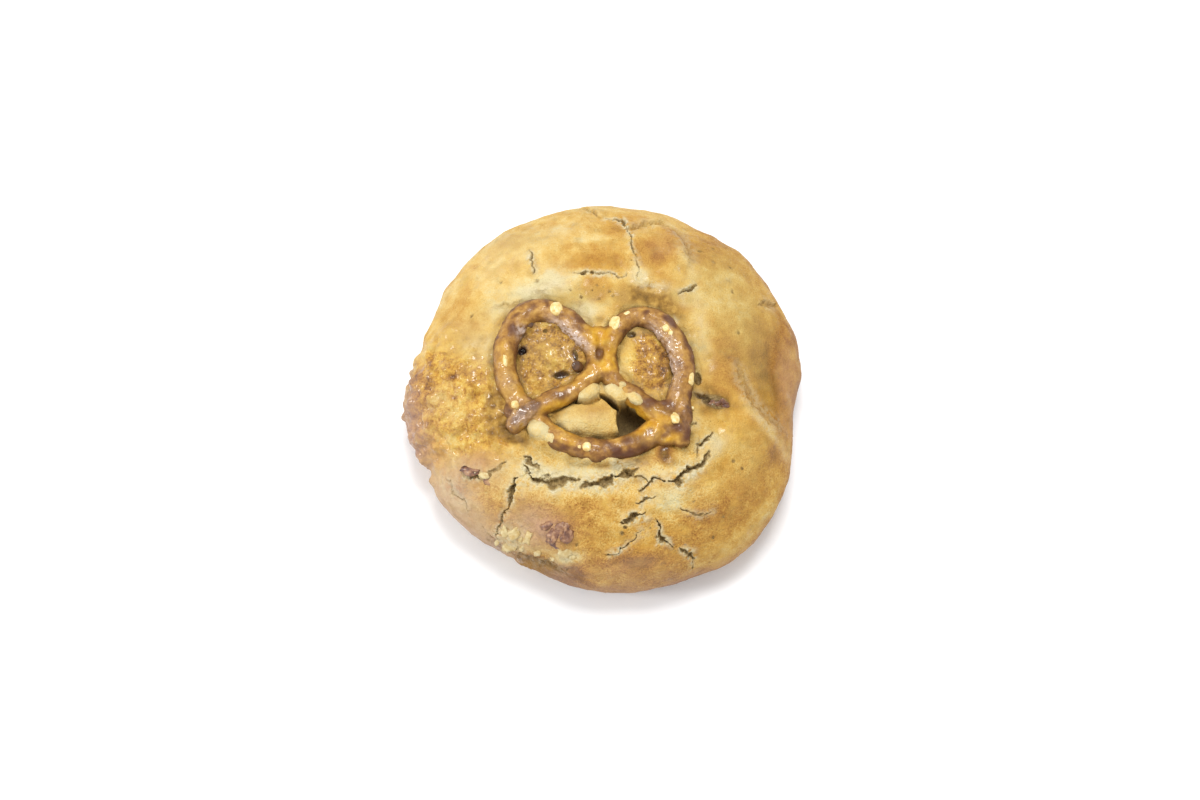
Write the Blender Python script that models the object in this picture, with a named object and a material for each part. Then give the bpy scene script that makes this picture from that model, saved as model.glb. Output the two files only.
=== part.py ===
"""A peanut butter cookie with a small salted pretzel baked into its domed top.

Sizes are millimetres and become metres when a mesh is made. +X is to the right, +Y away from
the viewer and +Z up. The origin is on the table, below the middle of the cookie.
"""

import math

import bmesh
import bpy
import numpy as np
from mathutils import Matrix, Vector, noise

MM = 0.001

# The cookie is a flattened dome, widest a little above a flat base.
COOKIE_RADIUS = 40.0
COOKIE_MIDDLE = (0.4, 0.9)
DOME_HEIGHT = 25.0
WIDEST_HEIGHT = 9.0
DOME_FLATNESS = 3.0
BASE_UNDERCUT = 0.11
DOME_END_DEG = 112
FLANK_END_DEG = 138
SPHERE_LEVEL = 7
COOKIE_DETAIL = 0.086
# All relief fades out between these heights above the flat base.
BASE_FADE = (1.0, 5.0)

# Bulges of the outline: direction in degrees, spread in degrees, size.
RIM_BULGES = (
    (36, 32, 1.9),
    (77, 9, 1.1),
    (92, 10, 0.5),
    (120, 9, 0.8),
    (160, 16, -1.7),
    (184, 8, 0.9),
    (204, 7, -2.0),
    (243, 17, -2.4),
    (288, 15, 0.7),
    (316, 23, 3.1),
    (352, 9, -0.7),
    (8, 9, 0.9),
)

# Soft swells and hollows of the top: x, y, reach along x, reach along y, height.
SWELLS = (
    (-1, -1, 30, 30, 0.5),
    (13, 28, 5.5, 5.0, 0.9),
    (-3, 27, 9.0, 4.5, 0.6),
    (-4, -27, 13, 5.5, 1.0),
    (20, -22, 10, 8.0, 0.9),
    (-25, 12, 7.0, 9.0, 0.6),
    (-14, 19, 7.0, 2.2, -0.9),
    (35, 4, 6.0, 8.0, -1.9),
    (-10.5, 5.5, 6.5, 5.5, 0.5),
    (8.5, 3.8, 4.2, 5.5, 1.2),
    (-2.5, -8.0, 6.0, 3.2, 0.8),
    (24, -6, 5.0, 4.5, -0.5),
)

# Splits in the crust: half width, depth, lift of the crust on the left and on the right of the
# route, how far that lift reaches, and the route.
CRACKS = {
    "below_left": (0.8, 2.3, -0.2, 0.7, 4.0,
                   ((-13.6, -19.2), (-8.4, -20.9), (-4.6, -20.0), (-2.2, -20.2))),
    "below_middle": (1.1, 3.0, -0.3, 0.8, 4.5,
                     ((-4.4, -22.6), (-1.6, -21.6), (3.6, -19.9), (9.4, -17.2))),
    "right_lip": (0.9, 2.6, -0.2, 0.9, 4.0,
                  ((12.4, -20.6), (16.4, -19.3), (20.6, -15.6), (22.9, -10.2))),
    "lower_short": (0.6, 1.3, 0.0, 0.4, 3.0, ((7.9, -23.0), (11.7, -19.8))),
    "lower_middle": (0.8, 1.9, 0.6, 0.0, 3.5, ((3.6, -28.6), (6.6, -27.4), (9.3, -26.4))),
    "lower_fork": (0.6, 1.4, 0.3, 0.0, 3.0,
                   ((10.8, -27.3), (11.2, -30.4), (12.5, -31.9), (15.6, -33.4))),
    "lower_tail": (0.7, 1.1, 0.0, 0.3, 3.0, ((16.3, -31.9), (19.2, -34.8))),
    "lower_dash": (0.6, 1.1, 0.4, 0.0, 3.0, ((0.6, -35.0), (5.2, -32.6))),
    "left_gap": (0.8, 2.3, 0.5, 0.0, 4.0, ((-15.8, -19.0), (-17.6, -21.6), (-18.6, -25.6))),
    "left_notch": (0.7, 1.4, 0.0, 0.3, 2.5, ((-15.2, -15.4), (-14.4, -16.9), (-11.8, -16.8))),
    "flake": (0.9, 1.2, 0.7, -0.2, 3.0, ((-27.6, -17.3), (-23.2, -18.7), (-20.9, -20.2))),
    "foot": (1.1, 2.4, 1.0, -0.3, 4.0,
             ((-24.6, -28.2), (-19.5, -31.6), (-11.8, -34.7), (-5.0, -36.6))),
    "top_seam": (0.7, 1.5, 0.2, 0.2, 3.0,
                 ((-2.0, 37.8), (4.1, 35.9), (5.3, 31.5), (6.9, 26.8), (8.3, 22.2))),
    "top_fold": (0.9, 1.1, -0.3, 1.1, 5.0,
                 ((4.6, 33.2), (9.5, 34.4), (15.2, 34.3), (18.0, 30.0), (19.4, 23.4))),
    "right_short": (0.7, 1.6, 0.5, -0.1, 3.5, ((15.4, 18.0), (17.5, 19.9), (20.1, 20.9))),
    "rim_short": (0.7, 0.9, 0.2, 0.0, 3.0, ((32.4, 18.9), (36.2, 20.2))),
    "upper_left": (0.6, 1.3, 0.0, 0.3, 3.0, ((-14.6, 28.9), (-13.3, 25.0), (-13.9, 21.5))),
    "upper_plate": (0.6, 1.4, 0.7, -0.5, 3.5, ((-6.2, 22.1), (-1.5, 22.9), (4.8, 21.9))),
    "pale_fold": (0.7, 0.6, 0.5, -0.3, 3.5, ((-22.0, 15.6), (-16.3, 16.2), (-10.5, 19.8))),
    "lobe_step": (0.7, 0.4, -0.7, 1.1, 6.0,
                  ((28.2, 9.0), (28.8, 3.0), (32.5, -5.2), (38.0, -10.2))),
    "beside_pretzel": (0.9, 1.7, 0.5, -0.2, 3.5, ((17.6, -2.2), (21.1, -3.2), (26.0, -0.6))),
}
CRACK_FADE = (7.0, 14.0)
CRACK_WANDER = (0.9, 3.2)
CRACK_JITTER = (0.55, 1.3)
# A split is full deep up to the first share of its half width, and ends at the second.
CRACK_FLANK = (0.3, 1.2)

# Small lumps: nibs of caught dough on the left rim, nut pieces, and candy pieces that show.
LUMPS = (
    (-38.6, 6.0, 1.0, 0.6),
    (-40.6, -3.6, 1.0, 0.8),
    (-37.8, -12.4, 1.0, 1.0),
    (-36.0, -16.2, 1.0, 0.9),
    (-17.0, -29.8, 1.4, 1.1),
    (-14.2, -30.6, 1.4, 1.2),
    (-17.4, -32.4, 1.5, 1.3),
    (-18.4, -27.2, 1.0, 0.8),
    (-6.4, -33.8, 1.9, 0.7),
    (-7.6, -29.2, 2.2, 1.1),
    (-9.6, -31.4, 1.6, 0.7),
    (-11.4, -28.6, 1.6, 0.6),
    (23.4, -3.8, 2.3, 1.1),
)

# Caramel that boiled over on the left: direction and fall on the dome in degrees, and its blisters.
CARAMEL_AT_DEG = (187, 76)
CARAMEL_REACH_DEG = (27, 30)
BLISTER_COUNT = 70
BLISTER_SCATTER = 0.5
BLISTER_FALLS = (40, 118)
BLISTER_RADIUS = (1.1, 2.2)
BLISTER_HEIGHT = (0.35, 1.0)
BLISTER_SEED = 11

# The hollow that opened in the dough under the pretzel's lower window: an egg stood on end.
HOLLOW_AT = (6.9, -8.2, 23.0)
HOLLOW_HALF = (3.8, 4.1, 7.0)
HOLLOW_LEVEL = 3

# Slow unevenness of the whole crust, and a finer one on it: height and length.
UNEVEN = (0.65, 10.0)
FINE_UNEVEN = (0.25, 4.2)

# The pretzel is one rope: a bow with two lobes whose ends cross the bow at the lower corners.
PRETZEL_HEIGHT = 24.9
PRETZEL_GAP = 0.36
ROPE_STEP = 0.7
PRETZEL_VOXEL = 0.42
PRETZEL_DETAIL = 0.092
CUTTER_DETAIL = 0.085
RELAX_FACTOR = 0.5
RELAX_STEPS = 5
ROPE_BEVEL = 4
ROPE_END_SEGMENTS = 14
ROPE_END_RINGS = 8
# The dough stays this far below the middle of a rope out to this share of its radius, then may
# rise by this slope, and past this distance from the rope it is free.
SEAT_DROP = 0.5
SEAT_SHARE = 0.75
SEAT_SLOPE = 1.1
SEAT_REACH = 2.5

# Rope routes: x, y, height above the pretzel's own plane, rope radius.
BOW = (
    (1.2, 2.6, 0.0, 2.0),
    (1.6, 6.0, 0.2, 2.1),
    (3.4, 10.4, 0.1, 2.1),
    (7.2, 13.2, -0.2, 2.1),
    (11.8, 11.9, -0.1, 2.3),
    (15.3, 7.6, 0.0, 2.4),
    (16.8, 1.9, 0.0, 2.4),
    (15.9, -3.2, -0.1, 2.4),
    (13.6, -8.0, -0.3, 2.3),
    (9.0, -12.2, -0.1, 2.4),
    (3.6, -14.4, 0.0, 2.5),
    (-2.2, -14.5, 0.1, 2.5),
    (-8.0, -12.4, 0.0, 2.4),
    (-13.0, -8.4, -0.3, 2.3),
    (-17.1, -3.6, -0.1, 2.4),
    (-19.0, 1.8, 0.0, 2.5),
    (-18.9, 7.2, 0.0, 2.5),
    (-16.3, 12.2, 0.0, 2.5),
    (-11.8, 14.5, 0.1, 2.4),
    (-7.2, 12.7, 0.2, 2.3),
    (-3.4, 9.4, 0.3, 2.2),
    (-1.1, 5.8, 0.2, 2.1),
    (-1.0, 2.6, 0.0, 2.0),
)
LEFT_ARM = (
    (-0.8, 4.4, 0.0, 2.0),
    (-1.6, 0.8, 0.1, 2.1),
    (-5.2, -2.3, 0.3, 2.1),
    (-10.0, -4.7, 0.7, 2.1),
    (-14.2, -7.4, 1.1, 2.1),
    (-17.0, -9.6, 0.4, 1.9),
)
RIGHT_ARM = (
    (1.4, 4.4, 0.0, 2.0),
    (1.9, 1.0, 0.1, 2.1),
    (5.2, -2.6, 0.3, 2.1),
    (9.8, -5.9, 0.7, 2.1),
    (14.2, -9.3, 1.0, 2.1),
    (16.3, -12.4, 0.3, 1.9),
)

# Baking salt on the pretzel: x, y, half length, half width.
SALT_SINK = 0.05
SALT_FLATNESS = 0.7
SALT_TURN = 37
SALT_LEVEL = 1
SALT_GRAINS = (
    (-8.7, 14.0, 1.7, 1.45),
    (-16.6, 11.6, 1.0, 0.9),
    (2.9, 11.5, 1.55, 1.2),
    (13.6, 9.6, 1.15, 0.95),
    (-16.9, -5.6, 1.3, 1.15),
    (14.9, -8.6, 1.45, 1.15),
    (-2.5, -14.8, 1.15, 1.1),
    (17.3, -0.5, 1.25, 0.95),
    (-19.0, 3.4, 1.4, 0.9),
    (9.6, 12.8, 0.95, 0.85),
)

# Dough that clings to the pretzel: x, y, half length, half width, direction in degrees.
STUCK_SINK = 0.35
STUCK_HEIGHT = 0.9
STUCK_LEVEL = 2
STUCK_DOUGH = (
    (-2.9, -1.8, 2.1, 1.3, 32),
    (4.1, -2.6, 2.3, 1.4, -40),
    (7.6, -5.2, 1.3, 1.1, -35),
    (-12.2, -9.6, 2.2, 1.2, -32),
    (-9.9, -11.3, 1.3, 1.0, -35),
)

# Plain finishes: colour and roughness. Edges sharper than the angle are kept crisp.
PRETZEL_FINISH = ((0.42, 0.19, 0.05), 0.35)
CRUST_FINISH = ((0.62, 0.36, 0.12), 0.75)
SHARP_DEG = 50


def smooth_share(value, low, high):
    """0 below low, 1 above high, and a smooth rise between them."""
    share = np.clip((value - low) / (high - low), 0, 1)
    return share * share * (3 - 2 * share)


def wandering(points, size, length, offset):
    """Smooth noise of about that size at each point, in one of several independent patterns."""
    shift = Vector((offset, -2 * offset, 3 * offset))
    return size * np.array([noise.noise(Vector(p) / length + shift) for p in points])


def rim_radius(around):
    """Radius of the outline in each direction, in radians."""
    radius = np.full_like(around, COOKIE_RADIUS)
    for direction, spread, size in RIM_BULGES:
        apart = np.degrees(around) - direction
        apart = (apart + 180) % 360 - 180
        radius = radius + size * np.exp(-((apart / spread) ** 2))
    return radius


def plain_cookie(around, fall):
    """Points of the smooth cookie for directions round it and falls from its top, in degrees."""
    on_dome = np.clip(fall / DOME_END_DEG, 0, 1) * math.pi / 2
    on_flank = np.clip((fall - DOME_END_DEG) / (FLANK_END_DEG - DOME_END_DEG), 0, 1) * math.pi / 2
    on_base = np.clip((fall - FLANK_END_DEG) / (180 - FLANK_END_DEG), 0, 1)
    share = np.sin(on_dome)
    rise = DOME_HEIGHT - WIDEST_HEIGHT
    height = WIDEST_HEIGHT + rise * np.sqrt(np.clip(1 - share**DOME_FLATNESS, 0, 1))
    height = height - WIDEST_HEIGHT * np.sin(on_flank)
    share = (share - BASE_UNDERCUT * (1 - np.cos(on_flank))) * (1 - on_base)
    radius = rim_radius(around) * share
    x = COOKIE_MIDDLE[0] + radius * np.cos(around)
    y = COOKIE_MIDDLE[1] + radius * np.sin(around)
    return np.stack([x, y, height], axis=1)


def near_route(x, y, route):
    """Distance to a route seen from above, share of the way along it, and side: 1 left, -1 right."""
    route = np.array(route, float)
    lengths = np.linalg.norm(np.diff(route, axis=0), axis=1)
    starts = np.concatenate([[0], np.cumsum(lengths)[:-1]])
    best = np.full(len(x), 1e9)
    along = np.zeros(len(x))
    side = np.ones(len(x))
    for (ax, ay), (bx, by), length, start in zip(route, route[1:], lengths, starts):
        ux, uy = (bx - ax) / length, (by - ay) / length
        run = np.clip((x - ax) * ux + (y - ay) * uy, 0, length)
        distance = np.hypot(x - ax - run * ux, y - ay - run * uy)
        closer = distance < best
        best = np.where(closer, distance, best)
        along = np.where(closer, (start + run) / lengths.sum(), along)
        turn = ux * (y - ay) - uy * (x - ax)
        side = np.where(closer, np.sign(turn + 1e-9), side)
    return best, along, side


def crack_relief(points):
    """Lift of the crust at each point from all the splits and the ledges beside them."""
    x = points[:, 0] + wandering(points, *CRACK_WANDER, 1.7) + wandering(points, *CRACK_JITTER, 2.9)
    y = points[:, 1] + wandering(points, *CRACK_WANDER, 4.1) + wandering(points, *CRACK_JITTER, 6.3)
    lift = np.zeros(len(points))
    for half_width, depth, left, right, reach, route in CRACKS.values():
        distance, along, side = near_route(x, y, route)
        full = np.sin(np.pi * along) ** 0.5
        ledge = np.where(side > 0, left, right) * smooth_share(distance, 0, half_width)
        lift += ledge * full * np.exp(-((distance / reach) ** 2))
        lift -= depth * full * (1 - smooth_share(distance / half_width, *CRACK_FLANK))
    return lift * smooth_share(points[:, 2], *CRACK_FADE)


def swell_relief(points):
    """Lift at each point from the soft swells and hollows."""
    lift = np.zeros(len(points))
    for x, y, reach_x, reach_y, height in SWELLS:
        off_x, off_y = (points[:, 0] - x) / reach_x, (points[:, 1] - y) / reach_y
        lift += height * np.exp(-(off_x**2) - off_y**2)
    return lift


def lump_relief(points):
    """Lift at each point from the nibs, nuts and candy, each set on the surface where it lies."""
    lift = np.zeros(len(points))
    for x, y, radius, height in LUMPS:
        apart = np.hypot(points[:, 0] - x, points[:, 1] - y)
        apart = np.where(points[:, 2] < WIDEST_HEIGHT, apart + (WIDEST_HEIGHT - points[:, 2]), apart)
        lift += height * np.exp(-((apart / radius) ** 4))
    return lift


def blister_relief(points):
    """Lift at each point from the blisters of the caramel, scattered by one seeded draw."""
    draw = np.random.default_rng(BLISTER_SEED)
    around, fall = draw.normal(0, BLISTER_SCATTER, (2, BLISTER_COUNT))
    around = np.radians(CARAMEL_AT_DEG[0] + CARAMEL_REACH_DEG[0] * around)
    fall = np.clip(CARAMEL_AT_DEG[1] + CARAMEL_REACH_DEG[1] * fall, *BLISTER_FALLS)
    radii = draw.uniform(*BLISTER_RADIUS, BLISTER_COUNT)
    heights = draw.uniform(*BLISTER_HEIGHT, BLISTER_COUNT)
    lift = np.zeros(len(points))
    for centre, radius, height in zip(plain_cookie(around, fall), radii, heights):
        apart = np.linalg.norm(points - centre, axis=1)
        lift = np.maximum(lift, height * np.exp(-((apart / radius) ** 2)))
    return lift


def rope_points(route):
    """The route as a smooth run of points, each with its rope radius as the fourth value."""
    knots = np.array(route, float)
    knots = np.vstack([2 * knots[0] - knots[1], knots, 2 * knots[-1] - knots[-2]])
    smooth = []
    for before, start, end, after in zip(knots, knots[1:], knots[2:], knots[3:]):
        steps = max(2, math.ceil(np.linalg.norm(end[:2] - start[:2]) / ROPE_STEP))
        for t in np.arange(steps) / steps:
            smooth.append(
                0.5 * (2 * start + (end - before) * t
                       + (2 * before - 5 * start + 4 * end - after) * t**2
                       + (3 * start - before - 3 * end + after) * t**3)
            )
    smooth.append(knots[-2])
    return np.array(smooth)


def below_ropes(points, height):
    """The dough's height, kept under the middle of the rope wherever the pretzel lies on it."""
    for route in (BOW, LEFT_ARM, RIGHT_ARM):
        rope = rope_points(route)
        for x, y, rise, radius in rope:
            apart = np.hypot(points[:, 0] - x, points[:, 1] - y)
            beyond = np.clip(apart - SEAT_SHARE * radius, 0, None)
            limit = PRETZEL_HEIGHT + rise - SEAT_DROP + SEAT_SLOPE * beyond
            height = np.where(apart < radius + SEAT_REACH, np.minimum(height, limit), height)
    return height


def vertex_values(mesh, name):
    """The three-part value of that name at every vertex, one row each."""
    values = np.empty(len(mesh.vertices) * 3, np.float32)
    mesh.vertices.foreach_get(name, values)
    return values.reshape(-1, 3).astype(float)


def place_vertices(mesh, points):
    """Moves every vertex to its new place, given in millimetres."""
    mesh.vertices.foreach_set("co", (points * MM).astype(np.float32).ravel())
    mesh.update()


def material(name, colour, roughness):
    """A plain finish that other files may refine."""
    made = bpy.data.materials.new(name)
    made.use_nodes = True
    shader = made.node_tree.nodes["Principled BSDF"]
    shader.inputs["Base Color"].default_value = (*colour, 1)
    shader.inputs["Roughness"].default_value = roughness
    shader.inputs["Metallic"].default_value = 0.0
    return made


def new_object(name, bm, finish):
    """Turns a bmesh into a named object in the scene."""
    mesh = bpy.data.meshes.new(name)
    bm.to_mesh(mesh)
    bm.free()
    mesh.materials.append(finish)
    made = bpy.data.objects.new(name, mesh)
    bpy.context.scene.collection.objects.link(made)
    return made


def apply_modifiers(obj):
    """Replaces the object's mesh by what its modifiers make of it."""
    graph = bpy.context.evaluated_depsgraph_get()
    mesh = bpy.data.meshes.new_from_object(obj.evaluated_get(graph))
    obj.modifiers.clear()
    obj.data = mesh


def make_rope(name, route, finish):
    """A round rope of changing thickness with rounded ends, as a closed mesh."""
    curve = bpy.data.curves.new(name, "CURVE")
    curve.dimensions = "3D"
    curve.bevel_depth = MM
    curve.bevel_resolution = ROPE_BEVEL
    curve.use_fill_caps = True
    points = rope_points(route)
    spline = curve.splines.new("POLY")
    spline.points.add(len(points) - 1)
    for knot, (x, y, rise, radius) in zip(spline.points, points):
        knot.co = (x * MM, y * MM, (PRETZEL_HEIGHT + rise) * MM, 1)
        knot.radius = radius
    rope = bpy.data.objects.new(name, curve)
    bpy.context.scene.collection.objects.link(rope)
    mesh = bpy.data.meshes.new_from_object(rope.evaluated_get(bpy.context.evaluated_depsgraph_get()))
    bpy.data.objects.remove(rope)
    bm = bmesh.new()
    bm.from_mesh(mesh)
    for x, y, rise, radius in (points[0], points[-1]):
        ball = bmesh.ops.create_uvsphere(
            bm, u_segments=ROPE_END_SEGMENTS, v_segments=ROPE_END_RINGS, radius=radius * MM
        )
        middle = Vector((x, y, PRETZEL_HEIGHT + rise)) * MM
        bmesh.ops.translate(bm, verts=ball["verts"], vec=middle)
    return new_object(name, bm, finish)


def rope_top(x, y):
    """Height of the pretzel's upper skin at a place on it."""
    highest = PRETZEL_HEIGHT
    for route in (BOW, LEFT_ARM, RIGHT_ARM):
        for px, py, rise, radius in rope_points(route):
            inside = radius**2 - (px - x) ** 2 - (py - y) ** 2
            if inside > 0:
                highest = max(highest, PRETZEL_HEIGHT + rise + math.sqrt(inside))
    return highest


def fuse_onto(obj, pieces):
    """Joins small pieces to the object with one Boolean union, then removes them."""
    group = bpy.data.collections.new(obj.name + "_pieces")
    bpy.context.scene.collection.children.link(group)
    for piece in pieces:
        bpy.context.scene.collection.objects.unlink(piece)
        group.objects.link(piece)
    union = obj.modifiers.new("fused", "BOOLEAN")
    union.operation = "UNION"
    union.operand_type = "COLLECTION"
    union.collection = group
    union.solver = "EXACT"
    apply_modifiers(obj)
    for piece in pieces:
        bpy.data.objects.remove(piece)
    bpy.data.collections.remove(group)


def make_bead(name, place, half_sizes, turn, level, finish):
    """A small rounded lump, such as a salt grain, turned about Z by that many degrees."""
    bm = bmesh.new()
    bmesh.ops.create_icosphere(bm, subdivisions=level, radius=1)
    bead = new_object(name, bm, finish)
    bead.location = Vector(place) * MM
    bead.scale = Vector(half_sizes) * MM
    bead.rotation_euler.z = math.radians(turn)
    return bead


def melt_together(obj, voxel, detail):
    """Turns overlapping closed shells into one smooth solid with that share of the faces."""
    melt = obj.modifiers.new("melt", "REMESH")
    melt.mode = "VOXEL"
    melt.voxel_size = voxel * MM
    relax = obj.modifiers.new("relax", "SMOOTH")
    relax.factor = RELAX_FACTOR
    relax.iterations = RELAX_STEPS
    thin = obj.modifiers.new("thin", "DECIMATE")
    thin.ratio = detail
    apply_modifiers(obj)


def make_pretzel(finish):
    """The bare pretzel: its ropes melted into one solid."""
    routes = {"bow": BOW, "left_arm": LEFT_ARM, "right_arm": RIGHT_ARM}
    ropes = [make_rope(name, route, finish) for name, route in routes.items()]
    bm = bmesh.new()
    for rope in ropes:
        bm.from_mesh(rope.data)
        bpy.data.objects.remove(rope)
    pretzel = new_object("pretzel", bm, finish)
    melt_together(pretzel, PRETZEL_VOXEL, PRETZEL_DETAIL)
    return pretzel


def add_toppings(pretzel, finish):
    """Fuses the salt grains and the dough that clings to the pretzel onto it."""
    beads = []
    for number, (x, y, half_length, half_width) in enumerate(SALT_GRAINS):
        place = (x, y, rope_top(x, y) - SALT_SINK)
        half_sizes = (half_width, half_length, SALT_FLATNESS * half_width)
        turn = SALT_TURN * number
        beads.append(make_bead(f"salt_{number}", place, half_sizes, turn, SALT_LEVEL, finish))
    for number, (x, y, half_length, half_width, turn) in enumerate(STUCK_DOUGH):
        place = (x, y, rope_top(x, y) - STUCK_SINK)
        half_sizes = (half_length, half_width, STUCK_HEIGHT)
        beads.append(make_bead(f"dough_{number}", place, half_sizes, turn, STUCK_LEVEL, finish))
    bpy.context.view_layer.update()
    fuse_onto(pretzel, beads)


def as_cutter(obj):
    """Marks an object as a cutter, which is seen only as wires and never rendered."""
    obj.hide_render = True
    obj.display_type = "WIRE"
    return obj


def hollow_cutter(finish):
    """The egg that opens the hollow under the pretzel's lower window."""
    bm = bmesh.new()
    bmesh.ops.create_icosphere(bm, subdivisions=HOLLOW_LEVEL, radius=1)
    for vert in bm.verts:
        vert.co = [(at + half * part) * MM for at, half, part in zip(HOLLOW_AT, HOLLOW_HALF, vert.co)]
    return as_cutter(new_object("hollow_cutter", bm, finish))


def seat_cutter(pretzel):
    """A copy of the bare pretzel, grown by the gap, that cuts its seat out of the dough."""
    cutter = pretzel.copy()
    cutter.data = pretzel.data.copy()
    cutter.name = "seat_cutter"
    bpy.context.scene.collection.objects.link(cutter)
    grow = cutter.modifiers.new("grow", "DISPLACE")
    grow.mid_level = 0
    grow.strength = PRETZEL_GAP * MM
    melt_together(cutter, PRETZEL_VOXEL, CUTTER_DETAIL)
    return as_cutter(cutter)


def shape_dough(mesh):
    """Moves the vertices of a unit sphere to the cookie's surface with all its relief."""
    unit = vertex_values(mesh, "co")
    unit /= np.linalg.norm(unit, axis=1)[:, None]
    around = np.arctan2(unit[:, 1], unit[:, 0])
    fall = np.degrees(np.arccos(np.clip(unit[:, 2], -1, 1)))
    points = plain_cookie(around, fall)
    place_vertices(mesh, points)
    outward = vertex_values(mesh, "normal")
    above_base = smooth_share(points[:, 2], *BASE_FADE)
    lift = wandering(points, *UNEVEN, 0.3) + wandering(points, *FINE_UNEVEN, 8.9)
    lift = lift + swell_relief(points) + crack_relief(points)
    lift = lift + lump_relief(points) + blister_relief(points)
    points = points + outward * (lift * above_base)[:, None]
    height = points[:, 2]
    points[:, 2] = np.where(height > WIDEST_HEIGHT, below_ropes(points, height), height)
    place_vertices(mesh, points)


def make_cookie(cutters, finish):
    """The cookie: a displaced dome with the pretzel's seat and the hollow cut into its top."""
    bm = bmesh.new()
    bmesh.ops.create_icosphere(bm, subdivisions=SPHERE_LEVEL, radius=1)
    cookie = new_object("cookie", bm, finish)
    shape_dough(cookie.data)
    thin = cookie.modifiers.new("thin", "DECIMATE")
    thin.ratio = COOKIE_DETAIL
    for cutter in cutters:
        cut = cookie.modifiers.new(cutter.name, "BOOLEAN")
        cut.operation = "DIFFERENCE"
        cut.object = cutter
        cut.solver = "EXACT"
    apply_modifiers(cookie)
    for cutter in cutters:
        bpy.data.objects.remove(cutter)
    return cookie


def centre_on_origin(objects):
    """Shifts the meshes so that the origin is on the table below the middle of them all."""
    points = np.vstack([vertex_values(obj.data, "co") for obj in objects])
    low, high = points.min(axis=0), points.max(axis=0)
    shift = Vector((-(low[0] + high[0]) / 2, -(low[1] + high[1]) / 2, -low[2]))
    for obj in objects:
        obj.data.transform(Matrix.Translation(shift))


def main():
    for obj in list(bpy.data.objects):
        bpy.data.objects.remove(obj)
    baked = material("pretzel", *PRETZEL_FINISH)
    crust = material("crust", *CRUST_FINISH)
    pretzel = make_pretzel(baked)
    cutters = [seat_cutter(pretzel), hollow_cutter(crust)]
    add_toppings(pretzel, baked)
    cookie = make_cookie(cutters, crust)
    centre_on_origin((pretzel, cookie))
    for obj in (pretzel, cookie):
        obj.data.shade_smooth()
        obj.data.set_sharp_from_angle(angle=math.radians(SHARP_DEG))


main()
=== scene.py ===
"""A peanut butter cookie with a small salted pretzel baked into its domed top, lit on a white table.

Places and sizes are millimetres in the maker's own drawing and become metres when a mesh is
placed. +X is to the right, +Y away from the viewer and +Z up.
"""

import math

import bpy
import numpy as np
from mathutils import Matrix, Vector, noise
from mathutils.bvhtree import BVHTree


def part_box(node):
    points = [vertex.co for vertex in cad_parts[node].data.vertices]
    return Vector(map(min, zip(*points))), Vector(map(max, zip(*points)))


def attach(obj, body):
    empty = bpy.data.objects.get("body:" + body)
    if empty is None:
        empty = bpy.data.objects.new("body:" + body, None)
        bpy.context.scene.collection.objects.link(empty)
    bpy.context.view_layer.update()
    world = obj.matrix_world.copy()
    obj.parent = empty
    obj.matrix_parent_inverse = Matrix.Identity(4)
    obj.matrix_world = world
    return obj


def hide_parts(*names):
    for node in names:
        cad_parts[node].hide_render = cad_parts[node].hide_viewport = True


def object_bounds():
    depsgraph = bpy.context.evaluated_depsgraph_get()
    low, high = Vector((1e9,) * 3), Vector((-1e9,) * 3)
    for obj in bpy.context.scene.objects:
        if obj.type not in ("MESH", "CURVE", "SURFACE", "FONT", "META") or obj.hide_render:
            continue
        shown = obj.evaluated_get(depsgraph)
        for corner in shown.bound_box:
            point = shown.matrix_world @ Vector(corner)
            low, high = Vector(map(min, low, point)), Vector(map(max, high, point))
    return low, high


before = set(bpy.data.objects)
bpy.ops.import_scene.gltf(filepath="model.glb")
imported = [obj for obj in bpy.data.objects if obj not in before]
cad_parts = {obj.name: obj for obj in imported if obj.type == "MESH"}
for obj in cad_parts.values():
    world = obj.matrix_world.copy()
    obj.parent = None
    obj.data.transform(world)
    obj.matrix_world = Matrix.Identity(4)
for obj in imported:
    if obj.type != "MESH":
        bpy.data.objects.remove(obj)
cad_low, cad_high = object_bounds()

MM = 0.001
FAR = 1e9

# The drawing's middle was moved onto the origin when the solids were made. The bare pretzel's
# middle in the drawing gives that move back.
PRETZEL_MIDDLE = (-1.265, -0.17)
pretzel_low, pretzel_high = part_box("pretzel")
SHIFT = tuple((pretzel_low[i] + pretzel_high[i]) / 2 / MM - PRETZEL_MIDDLE[i] for i in (0, 1))

# The cookie is a flattened dome, widest a little above a flat base.
COOKIE_RADIUS = 40
COOKIE_MIDDLE = (0.4, 0.9)
DOME_HEIGHT = 25
WIDEST_HEIGHT = 9
DOME_FLATNESS = 3
BASE_UNDERCUT = 0.11
DOME_END_DEG = 112
FLANK_END_DEG = 138
# All relief fades out between these heights above the flat base.
BASE_FADE = (1, 5)

# Bulges of the outline: direction in degrees, spread in degrees, size.
RIM_BULGES = (
    (36, 32, 1.9), (77, 9, 1.1), (92, 10, 0.5), (120, 9, 0.8), (160, 16, -1.7), (184, 8, 0.9),
    (204, 7, -2), (243, 17, -2.4), (288, 15, 0.7), (316, 23, 3.1), (352, 9, -0.7), (8, 9, 0.9),
)

# Soft swells and hollows of the top: x, y, reach along x, reach along y, height.
SWELLS = (
    (-1, -1, 30, 30, 0.5), (13, 28, 5.5, 5, 0.9), (-3, 27, 9, 4.5, 0.6), (-4, -27, 13, 5.5, 1),
    (20, -22, 10, 8, 0.9), (-25, 12, 7, 9, 0.6), (-14, 19, 7, 2.2, -0.9), (35, 4, 6, 8, -1.9),
    (-10.5, 5.5, 6.5, 5.5, 0.5), (8.5, 3.8, 4.2, 5.5, 1.2), (-2.2, -8.4, 5.6, 3, 1.3),
    (24, -6, 5, 4.5, -0.5), (23.6, -4.4, 2.4, 1.3, -0.9),
)

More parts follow.
